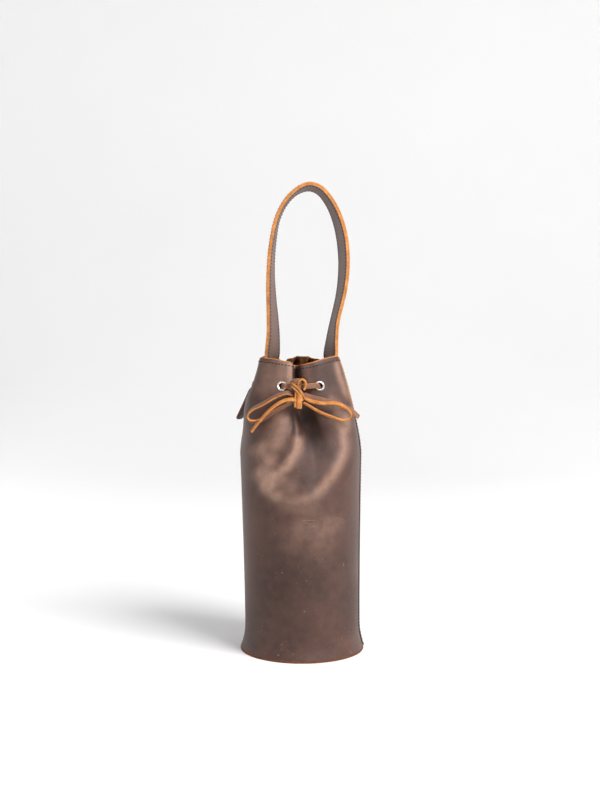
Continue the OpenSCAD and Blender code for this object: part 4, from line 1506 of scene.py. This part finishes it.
@dataclass
class SideTab:
    """The plain leather tab that hangs on the lace at the left shoulder.

    Attributes:
        held, looks: The run it hangs on, and its materials.
        width, length: Its size below the axis.
        lean, skew: How far it hangs out from the wall and sideways, in degrees.
        tip: Height of the rounded end.
    """

    held: HeldLace
    looks: Finishes
    width: float = 14
    length: float = 41
    lean: float = 33
    skew: float = 22
    tip: float = 2.6

    def build(self) -> None:
        """Sweeps the tab's sheet over the lace and down, with its corners rounded."""
        held, long = self.held, self.length
        t = held.tab_axis(1) - held.tab_axis(-1)
        t = unit(np.array([t[0], t[1], 0]))
        out = np.array([t[1], -t[0], 0])
        n, w = held.tab_neck / 2, self.width / 2
        lean, skew = math.radians(self.lean), math.radians(self.skew)
        down = -UP * math.cos(lean) + out * math.sin(lean)
        away = out * math.cos(lean) + UP * math.sin(lean)
        # each row of the sheet: its place from the axis, its half width and its sideways shift
        r, tall = held.bore + held.tab_t / 2, held.lace.width / 2 + 0.3 + held.tab_t / 2
        rows = [(out * r * math.cos(x) + UP * tall * math.sin(x), n, 0.0)
                for x in np.radians(np.arange(330, 59, -15))]
        for d in np.r_[np.linspace(1.5, long - 3, 16), long - 1.2, long - 0.3, long]:
            half = n + (w - n) * smooth((d - n) / (1.2 * n))
            half -= 2.2 * max(0.0, (d - (long - self.tip)) / self.tip) ** 2.4
            curl = 1.2 * math.sin(math.pi * min(1, d / long)) ** 2
            rows.append((away * (r + 0.25 - curl * 0.2) + down * d, half,
                         -math.sin(skew) * d * 0.8))
        across = np.linspace(-1, 1, 13)[:, None]
        along = unit(np.gradient(np.array([x[0] for x in rows]), axis=0))
        mids, normals = [], []
        for (place, half, shift), d in zip(rows, along):
            normal = unit(np.cross(t, d))
            bow = 0.5 * (1 - across ** 2) * normal * min(1, half / w) ** 2
            mids.append(held.tab_axis(0) + place + t * shift + across * t * half + bow)
            normals.append(normal)
        mids, half_t = np.array(mids), np.array(normals)[:, None] * held.tab_t / 2
        # its cut edges take the darker base edge finish, painted shade on tan cut edges
        piece = thick_sheet("side_tab_leather", mids - half_t, mids + half_t,
                            np.ones((len(rows) - 1, len(across) - 1), bool),
                            [self.looks.flesh, self.looks.tab, self.looks.base_edge])
        settle(piece, "tab", "strap_leather", "side_tab")


@dataclass
class Handle:
    """The strap: two plies sewn together, arched over the mouth and sewn in at both ends.

    Attributes:
        wall, looks: What it is sewn to, and its materials.
        width, ply: The strap's width and the thickness of one ply.
        sewn: Length of the ends inside the mouth.
        depth_y: How far behind the axis the arch stands; it is negative, so in front of it.
        row_in: How far the stitches lie in from the strap's edges.
        foot_degs: Panel angles of the left and the right end.
        arch: x and z of the free strap's middle line, and how far its inner face turns to the
            front, in degrees.
    """

    wall: SoftWall
    looks: Finishes
    width: float = 20
    ply: float = 1.5
    sewn: float = 20
    depth_y: float = -1.2
    row_in: float = 2.3
    foot_degs: tuple[float, float] = (-86, 84.5)
    arch: Sequence[Point] = (
        (-28.0, 274.6, 36), (-27.2, 283.1, 34), (-26.8, 294.9, 28.4), (-27.3, 309.7, 23.9),
        (-28.2, 323.5, 19.3), (-28.9, 338.3, 15.7), (-29.0, 352.1, 12.1), (-28.4, 365.8, 10.2),
        (-27.0, 379.5, 8), (-24.5, 394.3, 5.2), (-21.2, 404.8, 3.6), (-15.6, 415.3, 3.3),
        (-8.4, 423.4, 4), (-0.8, 428.3, 7.5), (6.9, 430.2, 11.6), (14.3, 428.0, 13.2),
        (20.3, 423.0, 14.5), (26.9, 413.4, 16.7), (31.8, 402.7, 19.3), (35.3, 391.1, 21.5),
        (37.5, 379.5, 22.8), (38.6, 366.9, 22.6), (38.7, 356.3, 21.9), (38.0, 344.7, 21.0),
        (36.4, 333.1, 19.4), (34.4, 323.5, 17.9), (32.3, 315.0, 17.1), (30.4, 306.5, 17.5),
        (29.1, 299.1, 20.3), (27.8, 288.5, 26), (26.6, 275.6, 33.5))

    def foot(self, deg: float, h: float) -> Array:
        """Returns a point of a sewn end's middle line."""
        form = self.wall.form
        sag = (1 - form.drawn(abs(deg), h)) * self.width ** 2 / 4 / form.body_d
        t, _, _ = form.axes(deg, h)
        depth = STACK + 0.9 + self.ply + 0.1
        return form.at(deg, h) - (depth + sag) * np.array([t[1], -t[0], 0])

    def across(self, deg: float, h: float) -> Array:
        """Returns the width direction of a sewn end."""
        t, _, _ = self.wall.form.axes(deg, h)
        return -t if t[1] < 0 else t

    def line(self) -> tuple[Array, Array]:
        """Returns the strap's middle line and its width directions."""
        x, z, turn = np.array(self.arch).T
        arch = np.stack([x, np.full(x.shape, self.depth_y), z], 1)
        t = unit(np.gradient(arch, axis=0))
        inward = np.stack([t[:, 2], 0 * x, -t[:, 0]], 1)
        turn = np.radians(turn)[:, None]
        widths = np.cos(turn) * [0, 1, 0] + np.sin(turn) * inward
        left, right = self.foot_degs
        heights = [self.wall.form.body_h - share * self.sewn for share in (1, 0.6, 0.3)]
        points, hints = (
            np.vstack([[end(left, h) for h in heights], free,
                       [end(right, h) for h in heights[::-1]]])
            for end, free in ((self.foot, arch), (self.across, widths)))
        return curve_through(points, 7), curve_through(hints, 7)

    def build(self) -> None:
        """Makes the strap and sews both of its edges."""
        line, hints = self.line()
        w, t, g = self.width / 2, self.ply + 0.1, 0.09
        half = [(-w + 0.45, -t), (-w * 0.7, -t - 0.05), (0, -t - 0.12), (w * 0.7, -t - 0.05),
                (w - 0.45, -t), (w - 0.1, -t + 0.22), (w, -t + 0.6), (w, -g - 0.2),
                (w - 0.28, -g * 0.3)]
        strap = swept("handle_strap", line, hints, np.array(half + [(-x, -y) for x, y in half]),
                      [0, 0, 0, 0, 1, 1, 1, 1, 1] * 2, [self.looks.strap, self.looks.edge],
                      angle=40)
        for node in ("strap_outer_ply", "strap_inner_ply", "strap_end_left", "strap_end_right"):
            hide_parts(node)
        tangent = unit(np.gradient(line, axis=0))
        across = square_to(tangent, hints)
        out = np.cross(tangent, across)
        row = StitchRow(self.looks.thread, length=1.9, thick=0.8)
        rows = [row.sew(f"handle_row_{k}", line + across * side * (w - self.row_in)
                        + out * face * (t + 0.06), out * face)
                for k, (side, face) in enumerate(((-1, 1), (1, 1), (-1, -1), (1, -1)))]
        for piece in (strap, joined("handle_stitches", rows)):
            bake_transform(piece)
        log.info("handle: %.0f mm of strap", lengths_along(line)[-1])


# the wall's folds, and strokes of painted highlight and painted shade on the wall
FRONT_FOLDS = (
    # the ridge down the middle that runs off to the left, and the one at its right
    Fold([(-6.4, 219), (-5.2, 204), (-7, 194), (-10.5, 186.5), (-17, 180), (-26, 174.5),
          (-35, 168.5)], 2.5, 4.2, (0.2, 0.3)),
    Fold([(35, 216), (38, 202), (38.6, 191), (35.4, 182), (27, 173), (15, 164), (6, 156)],
         2.2, 5.5, (0.3, 0.4)),
    # the deep valley between them
    Fold([(-1.5, 236), (1, 226), (5, 217), (11, 208), (18, 200), (26, 191)], -5.0, 8.0,
         (0.25, 0.45)),
    # the bulge at the left and the crease that parts it from the ridge
    Fold([(-17, 226), (-18, 212), (-25, 199), (-32, 188)], 1.5, 6.0, (0.3, 0.4)),
    Fold([(-9, 234), (-8.4, 222), (-8.8, 211), (-11.5, 200)], -1.9, 2.6, (0.2, 0.5)),
    Fold([(-17, 191), (-23, 186), (-31, 180)], -1.2, 4.0, (0.4, 0.4)),
    # the smile below, with its hollow
    Fold([(-36, 166), (-30.7, 159), (-15, 150), (-4.6, 146), (11, 149), (27, 157)], 1.0, 6.5,
         (0.25, 0.3)),
    Fold([(-45, 163), (-38, 152), (-22, 144), (-2, 139.5), (16, 142), (30, 149)], -0.5, 6.0),
    Fold([(30, 268), (33.5, 256), (38, 242), (41, 232)], 0.9, 5.0, (0.2, 0.4)),
    Fold([(-4, 128.8), (4, 127.6), (9, 128), (16, 126)], -0.1, 0.7, (0.2, 0.2)),
    Fold([(0, 126.2), (6, 125), (12, 125.4)], -0.1, 0.6),
    Fold([(29, 129), (36, 126.6), (41, 122.6)], -0.1, 0.7),
)
BACK_FOLDS = (
    Fold([(-10, 240), (-12, 215), (-17, 195), (-24, 178)], -1.8, 6.0, (0.1, 0.5), False),
    Fold([(9, 240), (12, 212), (16, 192), (25, 172)], -2.0, 6.5, (0.1, 0.5), False),
    Fold([(-1, 236), (0, 215), (1, 190), (-3, 170)], 1.6, 6.0, (0.1, 0.5), False),
    Fold([(-24, 176), (-8, 163), (10, 162), (26, 172)], 1.2, 8.0, (0.4, 0.4), False),
)
# painted highlights: where the light falls on the ridges, the bulges, the belly, the shoulders, the
# pleat's lips and the wrinkles' crests
PAINTED_HIGHLIGHTS = (
    # the ridge down the middle and the broad round end where it meets the bulge
    Fold([(-3.2, 207), (-3.4, 199), (-5, 191), (-9, 184), (-13, 178), (-20, 172.5), (-29, 168),
          (-37, 168)], 0.74, 5.0, (0.12, 0.12)),
    Fold([(-43, 177), (-34, 166), (-26, 153)], 1.0, 8.5, (0.35, 0.3)),
    Fold([(-43, 200), (-33, 186), (-22, 176)], 0.6, 9.5, (0.3, 0.25)),
    Fold([(-24, 168), (-12, 160), (0, 155)], 0.3, 7.0, (0.3, 0.4)),
    Fold([(-39, 162), (-27, 152), (-14, 147)], 0.55, 6.0, (0.3, 0.35)),
    Fold([(-20, 220), (-23, 205), (-24, 187)], 0.36, 9.0),
    Fold([(-26, 232), (-22, 220), (-17, 211)], 0.4, 6.5, (0.3, 0.4)),
    Fold([(-15, 232), (-15, 218), (-20, 205), (-29, 190)], 0.25, 6.5, (0.3, 0.4)),
    # the ridge at the right
    Fold([(42, 227), (40.5, 219), (40, 211), (38, 204), (38.6, 197), (38, 190), (35.8, 183),
          (33, 177), (28.5, 170), (22, 162.5), (15, 155.5), (7, 149)], 0.62, 4.8, (0.12, 0.25)),
    Fold([(26, 226), (33, 214), (35, 202)], 0.6, 6.5, (0.3, 0.4)),
    # the smile under them
    Fold([(-33, 156), (-22, 149.5), (-12, 147), (0, 147.5), (10, 149.5), (18, 154.5),
          (24, 161)], 0.33, 5.5, (0.25, 0.25)),
    Fold([(-26, 144), (-10, 140), (6, 140), (22, 142)], 0.2, 6.0, (0.3, 0.25)),
    # the belly
    Fold([(-14, 122), (0, 122), (16, 122), (42, 131)], 0.24, 12.0, (0.25, 0.35)),
    Fold([(4, 112), (20, 104), (34, 100)], 0.13, 14.0, (0.3, 0.4)),
    Fold([(-16, 130), (-10, 112), (-12, 94)], 0.14, 10.0),
    # the shoulders and the pleat's lips
    Fold([(31, 272), (34, 259), (37, 249), (40.5, 240), (44, 231)], 0.62, 3.0, (0.1, 0.3)),
    Fold([(22, 240), (30, 234), (38, 226)], 0.35, 3.5, (0.3, 0.4)),
    Fold([(-10.5, 270), (-10.5, 256), (-10, 242)], 0.55, 3.4, (0.05, 0.3)),
    Fold([(-19, 272), (-20, 256), (-25, 238)], 0.32, 9.0, (0.05, 0.3)),
    Fold([(-33, 272), (-34, 252), (-38, 234)], 0.24, 8.0, (0.1, 0.3)),
    Fold([(3, 268), (5, 256), (7, 246)], 0.2, 4.0, (0.1, 0.3)),
    # wrinkles across the belly
    Fold([(-4, 129.8), (4, 128.6), (9, 129), (16, 127)], 0.22, 0.5),
    Fold([(0, 127.4), (6, 126), (12, 126.6)], 0.2, 0.45),
    Fold([(4, 124.6), (9, 123.6), (13, 124)], 0.18, 0.45),
    Fold([(29, 130), (36, 127.6), (41, 123.6)], 0.2, 0.5),
    Fold([(31, 127.4), (36, 125.4), (40, 122)], 0.18, 0.45),
)
# painted shade: in the slit, the valleys, the creases and wrinkles, below the ridges, and darker
# towards the lower wall
PAINTED_SHADE = (
    # the slit and the valley that opens below it
    Fold([(-3.8, 268), (-3.8, 250), (-2.4, 236)], 0.9, 2.2, (0.02, 0.2)),
    Fold([(-2, 238), (-0.4, 228), (1.4, 219), (4, 210)], 0.6, 3.2, (0.1, 0.3)),
    Fold([(0, 232), (4, 222), (7, 214), (9.5, 206), (13, 198), (19, 190), (25, 181)], 0.75, 8.0,
         (0.2, 0.5)),
    Fold([(3, 207), (8, 198), (15, 188)], 0.3, 6.0, (0.3, 0.4)),
    Fold([(17, 198), (25, 188), (29, 178)], 0.25, 5.0, (0.3, 0.4)),
    Fold([(19, 220), (26, 213), (29, 206)], 0.15, 5.0, (0.3, 0.4)),
    Fold([(-8.8, 234), (-8.2, 222), (-8.2, 211), (-10, 202)], 0.7, 1.7, (0.1, 0.4)),
    Fold([(-11, 199), (-17, 191), (-24, 185.5)], 0.15, 3.0, (0.3, 0.4)),
    Fold([(-30, 140), (-10, 134), (12, 134.5)], 0.12, 5.0),
    Fold([(-46, 172), (-43, 158), (-36, 147)], 0.15, 5.0, (0.4, 0.4)),
    # the shoulders
    Fold([(19, 268), (23, 255), (27, 243)], 0.3, 5.0, (0.2, 0.3)),
    Fold([(12, 244), (22, 236), (30, 226), (32, 216)], 0.1, 5.0, (0.3, 0.4)),
    Fold([(-36, 266), (-41, 250), (-46, 234), (-50, 216)], 0.12, 4.0, (0.1, 0.4)),
    # the lower wall
    Fold([(-30, 80), (0, 66), (30, 60)], 0.22, 24.0),
    Fold([(47, 78), (45, 46), (41, 14)], 0.3, 12.0, (0.3, 0.15)),
    Fold([(-14, 38), (8, 22), (34, 8)], 0.18, 14.0, (0.3, 0.15)),
    Fold([(-24, 118), (-14, 108), (-30, 96)], 0.1, 13.0),
    # wrinkles across the belly
    Fold([(-4, 128.6), (4, 127.4), (9, 127.8), (16, 125.8)], 0.25, 0.5),
    Fold([(0, 126), (6, 124.8), (12, 125.2)], 0.22, 0.45),
    Fold([(29, 128.8), (36, 126.4), (41, 122.4)], 0.22, 0.5),
)


def main() -> None:
    """Builds the carrier, piece by piece, and its studio."""
    logging.basicConfig(level=logging.INFO, format="%(name)s: %(message)s")
    studio = Studio()
    studio.camera()
    looks = Finishes()
    wall = SoftWall(WallForm(), FRONT_FOLDS + BACK_FOLDS)
    lace = Lace(wall, looks)
    Bow(lace).build()
    held = HeldLace(lace)
    held.build()
    SideTab(held, looks).build()
    bag = Bag(wall, looks)
    bag.panel()
    bag.band()
    bag.base()
    bag.board()
    bag.seams()
    Eyelets(wall, looks).build()
    Handle(wall, looks).build()
    studio.stage()
    studio.light()


if __name__ == "__main__":
    main()
